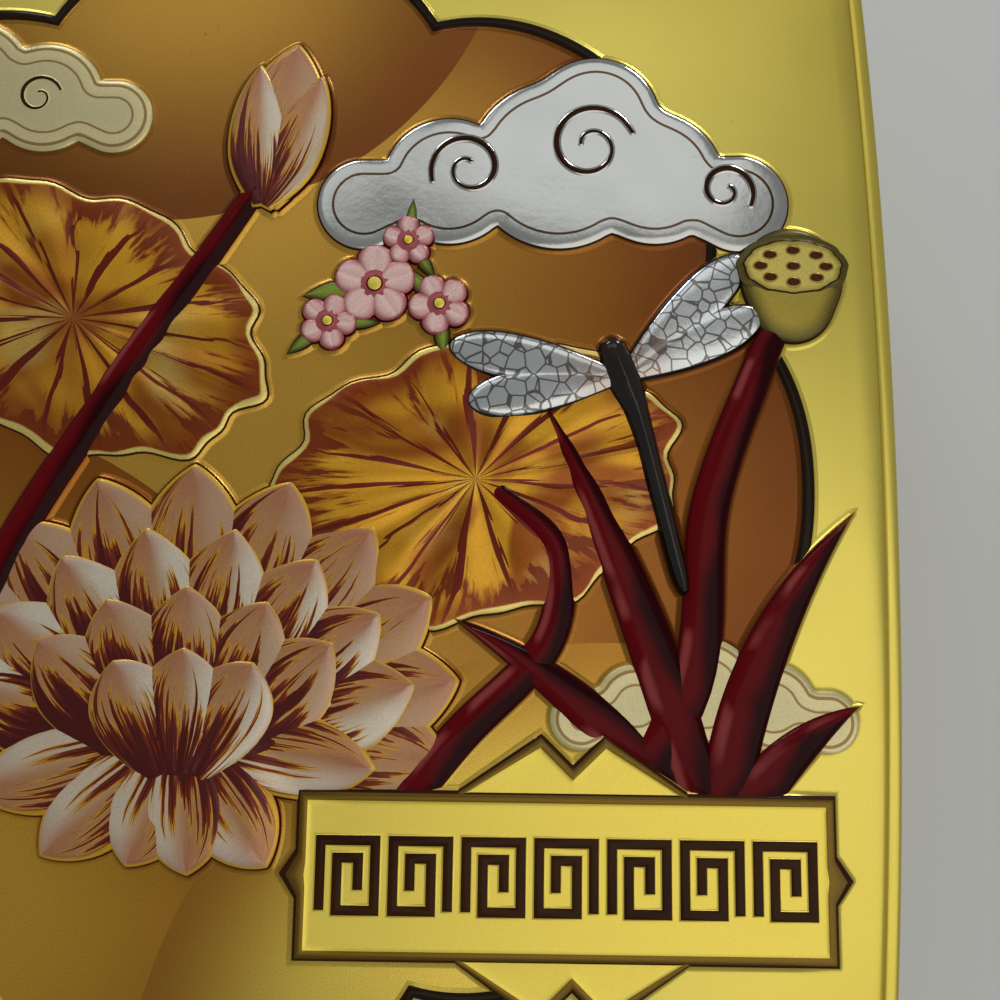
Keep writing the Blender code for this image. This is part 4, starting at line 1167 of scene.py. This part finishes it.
# %% Ripples and corner frets
OLIVE = (ground, brown_line, olive)
RIPPLES = ((-72, -79, 56), (-56, -85, 62), (-44, -91, 48))      # x, y and length
WAVE = 11                       # mm, the length of one ripple
HOOK = ((83.2, 79.6), (79.6, 79.6), (79.6, 89.0), (89.0, 89.0), (89.0, 79.6), (86.2, 79.6), (86.2, 86.2),
        (82.4, 86.2), (82.4, 82.6))
HOOK_HALF = 0.5
ripples = []
for number, (x, y, length) in enumerate(RIPPLES):
    share = np.linspace(0, 1, 2 * round(length / WAVE) + 1)
    lift = 0.9 * (-1.0) ** (np.arange(len(share)) + 1)
    path = np.column_stack((x + length * share, y + lift, 0.35 + 0.65 * np.sin(math.pi * share)))
    ripples.append((band(path, steps=6), 1.3 - 0.05 * number))
emboss_all("water_ripples", ripples, OLIVE, dome=0.1)
corners = []
for quarter in range(4):
    sine, cosine = math.sin(quarter * math.pi / 2), math.cos(quarter * math.pi / 2)
    path = [(x * cosine - y * sine, x * sine + y * cosine) for x, y in HOOK]
    corners.append((stroke(path, HOOK_HALF), 0.35))
emboss_all("corner_frets", corners, OLIVE, wide=0.5)

# %% [markdown]
# The studio is plain: a pale floor under the tin, one large window-like light above and beyond the
# lid whose reflection makes the long highlights on the enamel, a softer one from the near right that
# lifts the yellow border, and a dim, even surround. The camera looks down at the lid's right half
# from close by, tilted a little, as when such a tin is looked at in the hand.

# %% Floor, lights and camera
FLOOR_GAP = 0.0002              # by which the floor lies under the seam
AIM = (0.0417, -0.003, PANEL)   # what the lights and the camera point at
LIGHTS = (                      # name, place, size, brightness as seen, colour
    ("near_right", (0.34, -0.20, 0.62), (0.62, 0.88), 1.08, "#FFFAF0"),
    ("far_left", (-0.18, 0.42, 0.66), (0.26, 0.26), 0.75, "#FFFFFF"),
    ("far_right", (0.12, 0.42, 0.66), (0.28, 0.26), 0.9, "#FFFFFF"),
    ("window", (0.34, 0.62, 0.30), (0.12, 0.10), 24.0, "#FFFFFF"),
    ("far_window", (-0.22, 0.66, 0.36), (0.20, 0.10), 11.0, "#FFFFFF"),
)
LENS = 35.0
DISTANCE = 0.1459
TILT = math.radians(7.2)
ROLL = math.radians(0.86)

bpy.ops.object.select_all(action="DESELECT")
bpy.ops.mesh.primitive_plane_add(size=20.0, location=(0.0, 0.0, -FLOOR_GAP))
floor = bpy.context.object
floor.name = "floor"
backdrop, tree, _ = new_finish("pale_paper_backdrop")
surface(tree, "#C2C5C6", Roughness=0.8)
floor.data.materials.append(backdrop)
floor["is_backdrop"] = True

scene = bpy.context.scene
for name, place, size, radiance, colour in LIGHTS:
    data = bpy.data.lights.new(name, "AREA")
    data.shape = "RECTANGLE"
    data.size, data.size_y = size
    data.energy = radiance * math.pi * size[0] * size[1]
    data.color = swatch(colour)[:3]
    light = bpy.data.objects.new(name, data)
    scene.collection.objects.link(light)
    light.location = place
    light.rotation_euler = (Vector(AIM) - Vector(place)).to_track_quat("-Z", "Y").to_euler()

world = bpy.data.worlds.new("dim_room")
scene.world = world
world.use_nodes = True
room = world.node_tree.nodes["Background"]
room.inputs["Color"].default_value = swatch("#9C9C9A")
room.inputs["Strength"].default_value = 1.0

lens = bpy.data.cameras.new("camera")
lens.lens = LENS
lens.sensor_width = 36.0
lens.clip_start = 0.01
camera = bpy.data.objects.new("camera", lens)
scene.collection.objects.link(camera)
camera.location = Vector(AIM) + Vector((0.0, -math.sin(TILT), math.cos(TILT))) * DISTANCE
camera.rotation_euler = (TILT, 0.0, 0.0)
camera.rotation_euler.rotate_axis("Z", ROLL)
scene.camera = camera
scene.view_settings.view_transform = "Standard"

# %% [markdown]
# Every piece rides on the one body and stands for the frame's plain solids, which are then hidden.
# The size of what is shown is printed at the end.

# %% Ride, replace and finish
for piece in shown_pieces():
    if piece.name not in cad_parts:
        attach(piece, "root")
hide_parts("lid")
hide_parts("base")
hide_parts("bottom")
low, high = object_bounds()
print("visual box", [round(v / MM, 2) for v in (*low, *high)])
